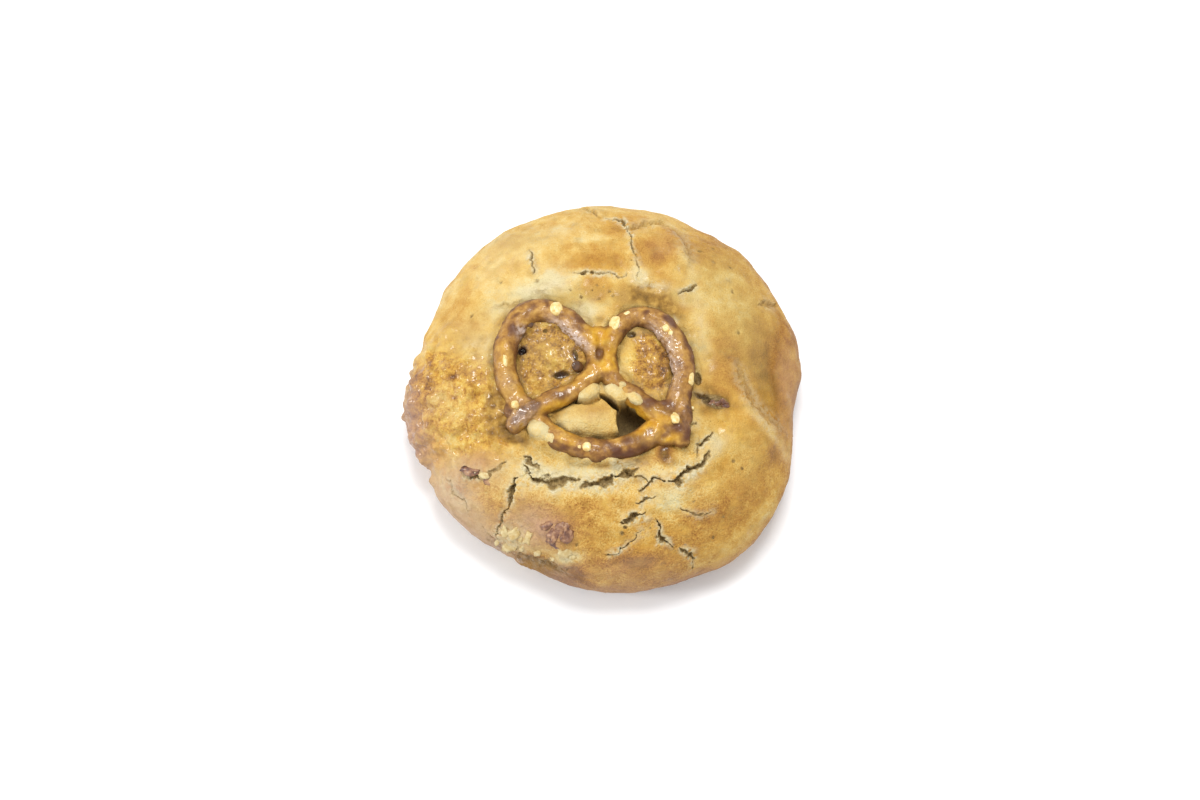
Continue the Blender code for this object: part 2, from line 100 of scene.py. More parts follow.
# Splits in the crust: half width, depth, lift of the crust on the left and on the right of the
# route, how far that lift reaches, and the route. They are finer than in the solid.
CRACKS = {
    "below_left": (0.75, 1.6, -0.1, 0.5, 4,
        ((-14.6, -18.4), (-12.8, -19.9), (-9.9, -20.6), (-6.4, -20.5), (-3.4, -20.1))),
    "below_middle": (0.9, 1.7, -0.1, 0.6, 4.5,
        ((-3.8, -21.8), (-1, -20.9), (2.4, -20.2), (5.4, -19.2), (7.6, -18.2))),
    "right_lip": (0.5, 1.7, -0.2, 0.8, 4,
        ((11.2, -20.2), (15, -20.4), (17.2, -18.8), (19.4, -17.2), (22.4, -15))),
    "right_upper": (0.35, 1.2, -0.1, 0.5, 3,
        ((18.7, -15.4), (20.2, -13.8), (21.6, -12.2), (23, -10.6))),
    "below_right": (0.32, 1, 0.2, -0.1, 3, ((7.6, -23.2), (9.9, -20.9), (12.6, -19.8))),
    "lower_short": (0.2, 0.7, 0.2, 0, 3, ((6.9, -24.8), (9.4, -24.2), (11.6, -23.8))),
    "lower_middle": (0.5, 1.5, 0.5, 0, 3.5, ((3.9, -28.7), (6.4, -27.5), (9.4, -26.4))),
    "lower_fork": (0.3, 1.1, 0.3, -0.1, 3.5,
        ((10.9, -27.4), (12, -31.2), (14.1, -32.6), (15.4, -33.2))),
    "lower_tail": (0.26, 0.8, 0, 0.2, 3, ((16, -32.6), (17.5, -33.6), (19, -35.2))),
    "lower_dash": (0.24, 0.7, 0.3, 0, 3, ((1.2, -34.9), (3.6, -33.6), (6, -32.5))),
    "left_gap": (0.42, 1.8, 0.4, 0, 4, ((-15.9, -19.2), (-17.4, -21.8), (-18.5, -25.4))),
    "left_notch": (0.26, 1, 0, 0.3, 2.5, ((-15.4, -15.6), (-13.8, -16.9), (-11.6, -17.5))),
    "notch_foot": (0.18, 0.8, 0, 0.2, 2.5, ((-15, -17), (-13.9, -18.6), (-12.8, -19.9))),
    "flake": (0.34, 0.8, 0.5, -0.2, 3, ((-27.8, -17.2), (-24.8, -18.1), (-21.6, -19.3))),
    "foot": (0.3, 1, 0.3, -0.4, 4,
        ((-23.2, -28), (-20.4, -30.9), (-16.4, -33), (-11.2, -34.6), (-6.2, -36.6))),
    "top_step": (0.4, 0.8, 0.4, -0.2, 3, ((-4.2, 40.4), (-1.6, 38.8), (-0.5, 36.4))),
    "top_seam": (0.24, 0.9, 0.2, 0.2, 3,
        ((-0.7, 36.4), (4.4, 36), (5.3, 33.3), (5.9, 30.1), (6.9, 26))),
    "top_fold": (0.8, 0.9, 0.5, 0.2, 5, ((4.6, 33), (8.6, 33.9), (13, 35.4))),
    "plate_side": (1.1, 0.5, -0.3, 0.6, 5, ((12, 35), (15, 33.7), (17.2, 29.9), (18.6, 24.4))),
    "right_short": (0.24, 1.1, 0.4, -0.1, 3.5, ((15.4, 18), (17.4, 19.5), (20, 21))),
    "rim_short": (0.7, 0.9, 0.2, 0, 3, ((32.8, 18.1), (36.4, 18.9))),
    "upper_left": (0.18, 0.6, 0, 0.2, 3, ((-14.8, 28.8), (-13.9, 25.2), (-13.6, 22.9))),
    "upper_plate": (0.09, 0.4, 0.2, -0.1, 3.5, ((-6, 22.5), (-1.3, 22.7), (2, 22.4), (5.8, 22.5))),
    "pale_fold": (0.7, 0.6, 0.5, -0.3, 3.5, ((-22, 15.6), (-16.3, 16.2), (-10.5, 19.8))),
    "lobe_step": (0.9, 0.05, -0.4, 0.7, 6,
        ((27.4, 6), (28.4, 1.4), (30.6, -3), (33.6, -6.4), (38.6, -8.6))),
    "left_seam": (0.22, 0.4, 0.2, 0, 3, ((-31.4, -17.8), (-28.9, -21.1), (-25.4, -24.6))),
    "beside_pretzel": (0.45, 1.3, 0.4, -0.2, 3.5, ((18.4, -2.6), (20.4, -3.4), (22.6, -4))),
}
# These are folds in the crust rather than open splits, so they show no torn crumb.
FOLDS = (
    "top_fold", "plate_side", "pale_fold", "lobe_step", "rim_short", "top_step", "left_seam", "foot",
    "beside_pretzel",
)
# What sets them apart: how much of the width is full deep, how much of the depth they have, how
# open they look, and how torn their lips are.
OPEN_SPLIT = (0.35, 1.1, 1, 1)
FOLDED = (0.2, 0.8, 0.3, 0.35)
FOLD_WIDTH = 1.2
CRACK_FADE = (7, 14)
# How far the routes sway and jitter, and their edges tear: size, length and, of a tear, octaves.
CRACK_WANDER = (0.9, 3.2)
CRACK_JITTER = (0.55, 1.3)
CRACK_TEAR = (0.3, 0.9, 3)
CRACK_RAG = (0.16, 0.6, 2)
# A split is as ragged as it is wide: fully at this half width, and never more than so many times.
RAG_FROM = 0.4
RAG_MOST = 1.2
# The width swings along the route: size and length of the swing, and its least and most.
CRACK_SWING = (1.6, 2.6)
CRACK_SWING_LIMITS = (0.1, 1.7)
LEAST_WIDTH = 0.05
# The torn lip beside a split.
LIP_WIDTH = 0.5
HAIRLINE_LIP = 0.9

# Hairline splits that run on from the wide ones: half width, depth and route.
HAIRLINES = (
    (0.3, 0.8, ((4.8, -19.2), (7, -19.9), (9.6, -20.6))),
    (0.2, 0.4, ((16.1, -26), (19, -26.8), (22.2, -25.8))), (0.22, 0.5, ((17.6, -10.4), (19.4, -8.6))),
    (0.2, 0.5, ((-18.5, -25.4), (-19.8, -27.2), (-20.2, -29.4))),
    (0.22, 0.5, ((-21.6, -19.3), (-21.4, -17.8), (-18.6, -16.5))),
    (0.16, 0.3, ((6.9, 26), (7.6, 23.8), (7.9, 21.8))),
    (0.16, 0.3, ((5.6, -32.7), (7.6, -31.6), (8.6, -30.4))),
)

# Small lumps: nibs of caught dough on the left rim, nut pieces, and candy pieces that show.
LUMPS = (
    (-38.8, 5.9, 0.9, 0.7), (-40.6, -3.6, 0.9, 0.9), (-37.7, -12.2, 0.9, 1), (-36, -16.2, 0.9, 0.9),
    (-34.6, -18.8, 0.7, 0.6), (-17, -29.8, 1.4, 0.4), (-14.2, -30.6, 1.4, 0.4), (-18.4, -27.2, 1, 0.4),
    (-6.4, -33.8, 1.9, 0.4), (-9, -30.4, 2.8, 0.9), (-11.4, -28.9, 1.3, 0.7), (-6.8, -31.2, 1.6, 0.6),
    (-12.8, -31.2, 1.2, 0.5), (23.8, -4.2, 2, 0.6), (-4.2, 2.1, 1.35, 1), (-12.6, 9.6, 1, 0.5),
    (10.4, 0.4, 1.6, 0.5), (-11.8, 3.2, 1.6, 0.4), (15.2, 29.4, 3, 0.5), (11.8, 20, 1.6, 0.4),
    (-32.6, -2.8, 1.4, 0.8), (-25.6, -2.2, 1.3, 0.7), (-28.4, -9, 1.3, 0.7), (-26, 5.4, 1.2, 0.5),
    (-23.4, 3, 1.2, 0.5), (-35.2, -8.6, 1.7, 0.8), (-36.6, 1.6, 1.6, 0.8), (-34.6, -12.8, 1.5, 0.7),
)

# Caramel that boiled over on the left: direction and fall on the dome in degrees, and its blisters.
CARAMEL_AT_DEG = (187, 76)
CARAMEL_REACH_DEG = (27, 30)
BLISTER_COUNT = 80
BLISTER_SCATTER = 0.5
BLISTER_RADIUS = (1.1, 2.2)
BLISTER_HEIGHT = (0.4, 1.3)
BLISTER_FALLS = (40, 118)
BLISTER_SEED = 11
# Its ragged edge as size and length, the thinnest that is shaped, the heights between which it
# thins out, its ripples as size, length and octaves, and the round bubbles in it.
CARAMEL_EDGE = (0.55, 2.6)
LEAST_CARAMEL = 0.02
CARAMEL_FADE = (3, 8)
COARSE_RIPPLE = (0.55, 2.8, 2)
FINE_RIPPLE = (0.22, 0.9, 2)
BUBBLE_SIZE = 1.9
BUBBLE_SHARE = 0.62
BUBBLE_HEIGHT = 0.34
BUBBLE_SWING = (0.9, 3)

# The hollow that opened in the dough under the pretzel's lower window: an egg stood on end.
# Ovals here are x, y, half sizes and turn in degrees.
HOLLOW = (6.9, -8.5, 3.8, 4.4, 0)
HOLLOW_TOP = 23.5
HOLLOW_DEPTH = 5.8
HOLLOW_RAG = (0.05, 1.5, 2)
# It runs on as a narrow gap up to where the arms cross, and a swell of pale dough bulges into it.
GAP = (2, -4.9, 2.7, 0.75, -38)
GAP_DEPTH = 3.6
# The window that the arms and the bow leave below their crossing.
WINDOW = (-0.8, -8.4, 10.5, 4.6, -4)
PALE_SWELL = (-2.6, -9.3, 5.9, 6, -4)
SWELL_EDGE = (0.97, 1.06)

# Slow unevenness of the whole crust, and a finer one on it: height and length.
UNEVEN = (0.7, 10)
FINE_UNEVEN = (0.34, 4.2)
# The crust's grain and the crumb where it broke: size, length and octaves. The grain is strongest
# in front, between these distances from the middle, and weaker on the right.
COARSE_GRAIN = (0.13, 2.4, 2)
FINE_GRAIN = (0.08, 0.9, 2)
COARSE_CRUMB = (0.32, 1.6, 2)
FINE_CRUMB = (0.28, 0.7, 2)
GRAINY_FRONT = (4, 20)
SMOOTH_RIGHT = (14, 26)

# The ball of triangles that becomes the crust, how often its finest faces are split again, and
# where the detail is: inside this radius, in front of this y above this height, and round each
# split and hole by a margin. Below the widest height it ends after a short drop.
BALL_LEVEL = 6
FINEST = 3
BUSY_RADIUS = 23
BUSY_FRONT = -8
BUSY_HEIGHT = 12
FLANK_DROP = 4
SPLIT_MARGIN = 0.6
HOLE_MARGIN = 0.4

# The pretzel is one rope: a bow with two lobes whose ends cross the bow at the lower corners.
# Its height is that of its own plane, through the middle of the rope.
PRETZEL_HEIGHT = 24.9
ROPE_STEP = 0.7
ROPE_BEVEL = 6
ROPE_END_SEGMENTS = 20
ROPE_END_RINGS = 12
PRETZEL_VOXEL = 0.24
RELAX_FACTOR = 0.5
RELAX_STEPS = 8
# The rope's thickness swings by this share over this length.
ROPE_SWING = 0.13
ROPE_SWING_LENGTH = 4
# Its skin: size and length of the swells, then size, length and octaves of the wrinkles.
SKIN_SWELLS = (0.4, 3.8)
SKIN_WRINKLES = (0.17, 1.8, 3)
# Its glaze: size and length of the ragged edge, the blisters' size and roughness, and how high
# they stand in general and more at the left arm's tip.
GLAZE_EDGE = (0.5, 1.6)
GLAZE_BUBBLE = 1.3
GLAZE_ROUGH = (0.6, 1.1, 2)
GLAZE_LIFT = 0.26
TIP_LIFT = 0.45
# Its upper side is what faces up by more than this, and its sides start at these distances inside
# the rope's edge and end at these upward facings. Both wander.
FACING_UP = 0.3
# The sides are painted darker, as shade, towards the rope's edge and where they face less upward.
SIDE_EDGE = (-0.8, -0.1)
SIDE_FACING = (0, 0.6)
EDGE_WANDER = (0.5, 1.5)
FACING_WANDER = (0.4, 1.5)
# The dark spots lie on a general level below 0, so that they stay apart, and wander.
DARK_LEVEL = -0.25
DARK_WANDER = (1, 2.2)
GOLD_WANDER = (0.3, 1.8)
# Rope routes: x, y, height above the pretzel's own plane, rope radius.
BOW = (
    (1.2, 2.6, 0, 2), (1.6, 6, 0.2, 2.1), (3.4, 10.4, 0.1, 2.1), (7.2, 13.2, -0.2, 2.1),
    (11.8, 11.9, -0.1, 2.3), (15.3, 7.6, 0, 2.4), (16.8, 1.9, 0, 2.4), (15.9, -3.2, -0.1, 2.4),
    (13.6, -8, -0.3, 2.3), (9, -12.2, -0.1, 2.4), (3.6, -14.4, 0, 2.5), (-2.2, -14.5, 0.1, 2.5),
    (-8, -12.4, 0, 2.4), (-13, -8.4, -0.3, 2.3), (-17.1, -3.6, -0.1, 2.4), (-19, 1.8, 0, 2.5),
    (-18.9, 7.2, 0, 2.5), (-16.3, 12.2, 0, 2.5), (-11.8, 14.5, 0.1, 2.4), (-7.2, 12.7, 0.2, 2.3),
    (-3.4, 9.4, 0.3, 2.2), (-1.1, 5.8, 0.2, 2.1), (-1, 2.6, 0, 2),
)
LEFT_ARM = (
    (-0.8, 4.4, 0, 2), (-1.6, 0.8, 0.1, 2.1), (-5.2, -2.3, 0.3, 2.1), (-10, -4.7, 0.7, 2.1),
    (-14.2, -7.4, 1.1, 2.1), (-17, -9.6, 0.4, 1.9),
)
RIGHT_ARM = (
    (1.4, 4.4, 0, 2), (1.9, 1, 0.1, 2.1), (5.2, -2.6, 0.3, 2.1), (9.8, -5.9, 0.7, 2.1),
    (14.2, -9.3, 1, 2.1), (16.3, -12.4, 0.3, 1.9),
)

# Webs where the pretzel's dough ran together: x, y, rise, half sizes and turn in degrees.
WEBS = (
    (-0.4, 8.6, -0.2, 2.6, 2.6, 1.7, 0), (-14.2, -6.6, 0.1, 3.2, 2.3, 2.2, -30),
    (13.4, -7.4, 0.3, 3.2, 2.5, 2.2, -40), (16.4, -6, 0, 1.9, 4, 2.1, 10),
    (16.2, -10.6, 0.2, 1.8, 2.6, 2, 12), (0.2, 1.6, 0.2, 2.6, 2, 1.9, 0),
    (13.6, -12.2, 0, 2.4, 1.5, 1.8, 10), (-17.6, -6.6, 0, 1.8, 2, 1.8, 0),
    (8.6, -7.2, -0.1, 2.2, 0.6, 1.4, -38),
)

# Baking salt on the pretzel: x, y, half length, half width, turn in degrees.
SALT_GRAINS = (
    (-8.7, 14.1, 1.45, 1.3, 20), (-16.7, 11.7, 0.6, 0.55, 10), (2.9, 11.3, 1.55, 1.1, -10),
    (13.2, 10.1, 0.85, 0.7, 30), (14.1, 9.1, 0.6, 0.5, 0), (-16.9, -5.8, 0.9, 0.8, 15),
    (14.9, -8.7, 1.35, 0.85, 5), (-2.6, -14.6, 0.9, 0.85, 0), (18.2, -0.4, 1.35, 0.55, -4),
    (-18.9, 3.3, 1.35, 0.5, 4), (9.7, 12.6, 0.6, 0.5, 50), (-4.1, -14.6, 0.4, 0.4, 0),
    (18.4, -5.9, 0.42, 0.4, 0), (5.4, 13.4, 0.7, 0.45, -60),
)

# The dough stays this far below the middle of the rope where the rope hides it, and may rise by
# this slope from this far inside the rope's edge. Past the reach it is free.
SEAT_DROP = 0.5
SEAT_SLOPE = 1.1
SEAT_INSET = 0.5
SEAT_REACH = 2.5
# It laps up the rope as a collar: drop below the rope's middle, rise where the dough covers the
# rope, fall for each millimetre away and for each one past its lap, the lap, and the reach.
COLLAR_DROP = 0.4
COLLAR_RISE = 1.9
COLLAR_FALL = 0.8
LAP_FALL = 1.6
COLLAR_LAP = 0.9
COLLAR_REACH = 1.6
# A groove runs along the bare rope: depth, more depth in the lower window, and width.
GROOVE_DEPTH = 0.3
WINDOW_GROOVE = 1.3
GROOVE_WIDTH = 0.55
# How much the dough covers the rope everywhere, and the most that it covers it anywhere.
COVER = 0.15
COVER_MOST = 1.3
# How cover, collar and groove wander, as size and length, and how torn the collar is, with octaves.
COVER_WANDER = (0.5, 2.6)
COLLAR_WANDER = (0.5, 1.9)
COLLAR_RAG = (0.15, 0.8, 2)
GROOVE_WANDER = (0.4, 2.6)

# Dough that rose over the pretzel and stuck to it is knobbly and crowned, steep past its edge, and
# stands in a narrow moat in the window.
STUCK_KNOBS = (0.3, 2.2)
STUCK_RAG = (0.12, 1, 2)
STUCK_CROWN = 0.8
STUCK_FLANK = 14
STUCK_EDGE = 1.3
MOAT_DEPTH = 1.6
MOAT_WIDTH = 0.22
# Its places: x, y, half length, half width, direction in degrees, and height of its top above the
# pretzel's own plane.
STUCK_DOUGH = (
    (-2.2, -3.1, 2.1, 1.3, 32, 2.5), (3.1, -3.3, 2.4, 1.5, -36, 2.8), (4.4, -1.6, 0.9, 0.7, -20, 2.6),
    (7.2, -4.8, 1.8, 1.1, -36, 3.2), (-12.2, -10.7, 2.6, 1.8, -34, 2.7),
    (-9.6, -12.4, 1.5, 1.1, -35, 2.4), (0.9, -16.3, 2.5, 1.2, 2, 1.7), (-2.4, -16.6, 1.2, 0.8, 10, 1.2),
)

# Where the dough rose against the pretzel and over its edge: x, y, reach along x and y, turn, height.
COVERED = (
    (-12.6, 11, 4.6, 1.4, 8, 0.8), (-6.6, -0.4, 5, 1.3, 33, 0.9), (-13.4, -3.6, 2.4, 1.6, 30, 0.7),
    (5.4, -0.2, 3.5, 1.2, -40, 0.8), (11.4, -3.2, 2.2, 1.6, -40, 0.8), (-20.6, -4.4, 1.4, 4, 12, 0.9),
    (-11.8, -13.2, 4.5, 1.4, -30, 0.9), (1, -17, 6, 1.2, 3, 0.7), (-2.2, 12, 3, 1.8, -40, 0.7),
    (-7, -9.8, 4, 1.2, -26, 0.6), (19.6, 6, 1.2, 5, 0, 0.5), (8, 16, 4, 1.4, 0, 0.5),
)

# Holes left by bubbles: x, y, half sizes, turn in degrees, depth.
HOLES = (
    (-15.6, 5.9, 0.85, 0.85, 0, 2.2), (-7.6, 0.7, 1.7, 0.85, 8, 1.3), (-4.9, 4.9, 0.5, 1.2, 10, 0.8),
    (-11, 10.1, 0.5, 0.4, 0, 0.9), (6.3, 9.3, 0.95, 0.7, 0, 1.2), (19.5, 0.2, 0.8, 1.3, 5, 1.6),
    (-3.4, 22.6, 0.6, 0.4, 0, 0.9), (-1.6, 22.8, 0.4, 0.3, 0, 0.8), (5, -29.6, 0.45, 0.3, 0, 0.6),
    (11.8, -29, 0.35, 0.3, 0, 0.6), (23.3, -4.2, 2.9, 1.4, -8, 0.7),
)

# Pinprick pores that stand open in the crust: x, y and half size, and their depth for that size.
PORE_DEPTH = 1.6
PORES = (
    (26.6, -16, 0.35), (28.4, -17.4, 0.3), (22.6, -30.6, 0.3), (24.6, -26.8, 0.25), (4.4, -30.6, 0.4),
    (11.2, -31.2, 0.3), (10, -29.6, 0.25), (18.6, -24.6, 0.25), (-4.6, -32.6, 0.3), (20.4, 29, 0.4),
    (-12.8, 21.4, 0.3), (-13.4, 20.8, 0.25), (2, 18.6, 0.3), (2.6, 17.6, 0.25), (-4.8, 24.4, 0.25),
    (23.2, 26.4, 0.3), (26.8, 25.6, 0.35), (26.9, 19.9, 0.3), (23, 29.8, 0.3), (28, 10.8, 0.35),
    (-0.6, 20, 0.25), (-1.6, 18.9, 0.2), (0.6, 19.6, 0.2), (-3.8, 17.6, 0.35), (-0.2, 17, 0.25),
    (-6, 19.2, 0.25), (-26, 14.4, 0.3), (-20, 21.4, 0.25), (4.8, 24.4, 0.25), (6.4, 25.4, 0.3),
)

# The lower wall of the cookie is browner and rosier, partly as painted shade: the heights between which
# that fades in, as negative numbers, and how much.
RIM_FADE = (-15, -7)
RIM_BAKE = 0.25
RIM_ROSY = 0.35
# The dough is painted darker within this distance of the rope, as contact shade, by a share that wanders.
# Stuck dough is paler.
CONTACT_WIDTH = 0.9
CONTACT_SHARE = 0.55
CONTACT_WANDER = (0.8, 2.4)
STUCK_PALER = 0.24
# The browning has patches and mottles, and the syrup and its painted shadow a ragged edge: size and length.
BAKE_PATCHES = (0.16, 5)
BAKE_MOTTLES = (0.14, 2)
SYRUP_EDGE = (0.5, 1.8)

# Browning of the crust, from 0 for pale dough to 1 for dark brown: the general share, and
# places that caught more or less of the heat as x, y, reach along x and y, turn and share.
BROWNING = 0.3
BROWNED = (
    (-1.6, 24.8, 6, 2.2, 0, 0.16), (27, 2, 3.5, 5, 0, 0.14), (-17, 31, 7, 4, 30, 0.1),
    (-28, 14, 6, 6, 0, 0.1), (10.8, 27.4, 4.2, 4, 0, 0.36), (-26, 18, 3.2, 2.2, 30, 0.1),
    # The rows at (36, 3) and (33.6, 1.6) are painted shade on the right lobe, which faces away from the
    # light.
    (24.6, 6, 3.6, 6, 0, 0.3), (36, 3, 5, 18, 0, 0.4), (33.6, 1.6, 3, 5, 20, 0.2),
    (26, 29, 7, 10, 45, 0.3), (22, 31, 5, 3, -40, 0.16), (26, -4, 4, 5, 0, 0.2),
    (22.6, -25, 6, 3, 10, 0.16), (24, -16.6, 2.6, 2.6, 0, 0.24), (-24, 0, 5, 3, 0, 0.1),
    (5, 36, 8, 3, 0, 0.26), (9, 18.6, 3.6, 1.6, 0, 0.3), (13.4, 16.4, 3, 2, -30, 0.35),
    (14, 32.5, 3, 1.6, -30, 0.16), (3, 31, 2, 4, 0, 0.16), (4, 20, 2.4, 4, 0, 0.14),
    (-6, -25.6, 10, 3.4, 0, 0.2), (-10, -29.6, 5, 2.6, 0, 0.18), (-15, -26, 3, 3.5, 0, 0.2),
    (20, -29, 12, 6, 25, 0.2), (4, -36, 14, 3.5, 0, 0.34), (3, 32.6, 3, 1.6, 0, 0.1),
    (31, -11, 5, 8, -30, 0.15), (28, -21, 6, 5, 0, 0.14), (0, -31, 20, 7, 0, 0.1),
    (22, -5, 2.4, 2.4, 0, 0.3), (-24.5, -17, 5, 3, -20, 0.24), (-22, -26, 6, 4, -40, 0.16),
    (12.8, -15.2, 1.4, 2, 0, 0.8), (8, -17.4, 3, 1.6, 0, 0.36), (15.4, -21.4, 4, 1.2, 10, 0.16),
    (0, -17.6, 3, 0.8, 0, 0.3), (-20.4, -31.2, 2, 0.8, -40, 0.5), (-16.4, -33.2, 3.6, 0.8, -16, 0.7),
    (-10.4, -35, 3.6, 0.9, -22, 0.8), (-5.4, -36.6, 3, 0.9, -22, 0.6), (8.4, -35.4, 4, 1.2, 10, 0.24),
    (17, 28, 2.5, 2.5, 0, 0.14), (16, 32.5, 3, 1.5, 0, 0.12), (24, 8, 3, 4, 0, 0.13),
    (22, 16, 3, 3, 0, 0.09), (22.5, -7.5, 3, 2, 0, 0.1), (34.5, -14, 2.5, 6, -30, 0.12),
    # The row at (0.5, -6.6) is painted shade on the upper side of the pale swell under the arms.
    (0.5, -6.6, 4.5, 1.6, 20, 0.2), (1.5, 24.5, 3, 1.5, 0, 0.1), (-26, -20, 5, 2.5, -20, 0.14),
    (-8, -30.6, 2.6, 2.2, 0, 0.16), (-28.5, -21.2, 4, 0.5, -49, 0.35), (2, -24, 6, 1.6, 0, 0.1),
    (12, -20.6, 3, 1.4, 0, 0.14), (36, -12, 2, 3, 0, 0.14), (32, -8.6, 2, 2, 0, 0.14),
    (25, 14, 4, 3, 0, 0.1), (20, 12, 1.6, 4, 0, 0.12), (32, -20, 2, 3, 0, 0.12),
    (12, 20.4, 2, 1, 0, 0.14), (5, 16.4, 2, 1.6, 0, 0.14), (-6, 16.4, 2, 1.4, 0, 0.14),
    (1, 13, 2, 1.4, 0, 0.14), (-20, -27, 3, 3, 0, 0.14), (-28, -20, 3, 2, 0, 0.16),
    (20, 25, 2.6, 3, 0, 0.2), (16, 30, 2.2, 3.4, 0, 0.16), (8, -21, 3, 1.6, 0, 0.16),
    (28, -0.5, 2.6, 2.6, 0, 0.12), (3, 26, 4, 3, 0, 0.1), (12, -12, 4, 8, 0, 0.06),
)
# How steep the plates' edges are, and how they sway and tear: size, length and octaves.
PLATE_EDGE = 8
PLATE_SWAY = (0.25, 3)
PLATE_RAG = (0.06, 0.8, 2)

# Plates of crust with an edge, which browned as one: x, y, half sizes, turn and share.
PLATES = (
    (-0.9, 19.4, 3.3, 3, 0, 0.24), (-4.2, 26.2, 7.6, 3.4, 3, 0.1), (10.6, 27.4, 3.9, 4.4, -10, 0.1),
    (-6, -27.6, 10.5, 5, -4, 0.08), (38, 4, 10.5, 13, 0, 0.12), (18, -26, 9, 6, 30, 0.05),
)
# Places that stayed paler: x, y, reach along x and y, turn and share.
PALE = (
    (-12, 32, 9, 3, 10, 0.12), (-20, 21, 5, 3, 0, 0.1), (-9, 21.6, 5.5, 2.2, 0, 0.28),
    (-14, 18.4, 5.5, 2.2, 0, 0.34), (-4.4, 15.5, 3, 2.6, 0, 0.3), (-22, 6, 3.5, 6, 0, 0.1),
    (8, 23, 2.5, 2.5, 0, 0.34), (18, 25, 2.4, 4, 20, 0.16), (25, 23, 5, 5, 0, 0.12),
    (20.5, 12, 2, 7, 0, 0.22), (27, 13, 4, 5, 0, 0.08), (13, -23.6, 6, 2.6, 10, 0.36),
    (-12.5, -18.3, 5, 2, -15, 0.28), (-4, -19, 6, 1.2, 5, 0.26), (-4, -23.2, 6, 1.2, 5, 0.24),
    (11, -18, 4, 1.6, 10, 0.16), (23, -13.5, 2.4, 3.4, -20, 0.4), (-17, -30, 2.6, 2, 0, 0.2),
    (-6, -34.4, 2.6, 1, 0, 0.45), (-3.5, -9, 4, 2, 0, 0.1), (33, -8.2, 1.3, 6, 48, 0.4),
    (-14, -26, 3, 2, 0, 0.1), (28, -16, 2.5, 2, 0, 0.12), (-20, 16, 2.5, 2, 0, 0.14),
    (-12, -28.6, 2.4, 1.6, 0, 0.1),
)
# Where the crust goes rosy, or olive where the share is below 0. The olive rows over the right lobe at
# (33.6, 1) and under the pale fold at (-9, 18) are painted shade.
ROSY = (
    (-30, -22, 5, 11, 40, 1.2), (-20, -32, 8, 3.4, -30, 0.6), (-12, -28, 5, 3, -10, 0.65),
    (-9, -30.4, 3.6, 2.6, 0, 0.5), (-24, -16.4, 5, 2.4, 0, 0.7), (12.6, 28.5, 3.2, 3.2, 0, 0.2),
    (6, -37.5, 14, 2.6, 0, 0.45), (8, -35.2, 4, 1.2, 10, 0.4), (39, 2, 3, 13, 0, 0.7),
    (-38.6, -4, 3, 11, 0, 1.1), (-34.6, -10.6, 3, 5, 20, 0.6), (-32, -2.6, 2, 2, 0, 0.4),
    (30, 12, 8, 8, 0, -0.6), (24, 24, 7, 7, 0, -0.5), (33.6, 1, 4, 6, 20, -0.5),
    (-11, 5, 7.5, 6.5, 0, -0.4), (10, 3, 4.4, 6, 0, -0.1), (-2.5, -8.5, 5, 3.5, 0, -0.3),
    (-7, -36, 3, 1.2, 0, 0.6), (-14, -33.8, 7, 1.4, -18, -0.5), (-14, -28, 5, 3.6, 0, 0.45),
    (-26, 9, 4, 4, 0, -0.4), (-18, 32, 6, 3, 0, -0.4), (18, -24, 4, 3, 0, 0.3), (13, 18, 6, 3, 0, -0.8),
    (-9, 18, 8, 2, 0, -0.7), (-3, 15, 3, 3, 0, -0.6), (-20, 15, 5, 2, 0, -0.5), (6, 17, 4, 3, 0, -0.5),
    (14, -24, 6, 3, 0, -0.4), (-8, -18, 6, 2, 0, -0.35), (28, -14, 6, 6, 0, -0.4),
)
# Where the crust is a deeper gold, or duller where the share is below 0.
GOLDEN = (
    (-32, -12.5, 3, 3, 0, 1.2), (-32, -16.5, 2, 2, 0, 0.3), (34, -3, 4, 5, 30, 1.2),
    (24, -16, 3, 3, 0, 0.9), (26, -8, 4, 5, 0, 0.9), (-20, -12, 2.5, 2.5, 0, 1.1),
    (12.5, 20, 3, 1.6, 0, 1.2), (17, 20, 2, 2, 0, 0.3), (4, 36, 3, 2, 0, 1.2),
    (-1.5, 24, 4, 2.5, 0, 0.7), (8, -24, 3, 2, 0, 0.9), (8, -31, 6, 4, 0, 0.7), (8, -36, 3, 2, 0, 0.5),
    (-28, 4, 2, 2, 0, 0.4), (36, 2, 3, 4, 0, 0.4), (20, -20, 3, 2, 0, 0.4), (-20, -20, 3, 2.5, 0, -0.9),
    (-16, -28, 3, 3, 0, -1.1), (-24, -28, 3, 3, 0, -1), (-27, 12, 4, 3, 0, -0.5),
    (-24, 4, 2.5, 2.5, 0, -0.5), (-30, -4, 4, 3, 0, -0.5), (-28, -8, 2.5, 2.5, 0, -0.4),
    (-12, 8, 3, 3, 0, -0.3), (-8, 23, 4, 2.5, 0, -0.9), (-20, 32, 4, 3, 0, -0.6),
    (-8, 33, 6, 3, 0, -0.5), (-32, 20, 3, 3, 0, -0.5), (-28, -24, 3, 3, 0, -0.5),
    (-28, -16, 2.5, 2, 0, -0.6), (-12, -24, 2.5, 2.5, 0, -0.4), (-12, -32, 2.5, 2, 0, -0.9),
    (-14, -33.9, 7, 1, -18, 1.3), (16, 28, 2, 2, 0, -0.5), (36, -12, 2, 3, 0, -0.6),
)
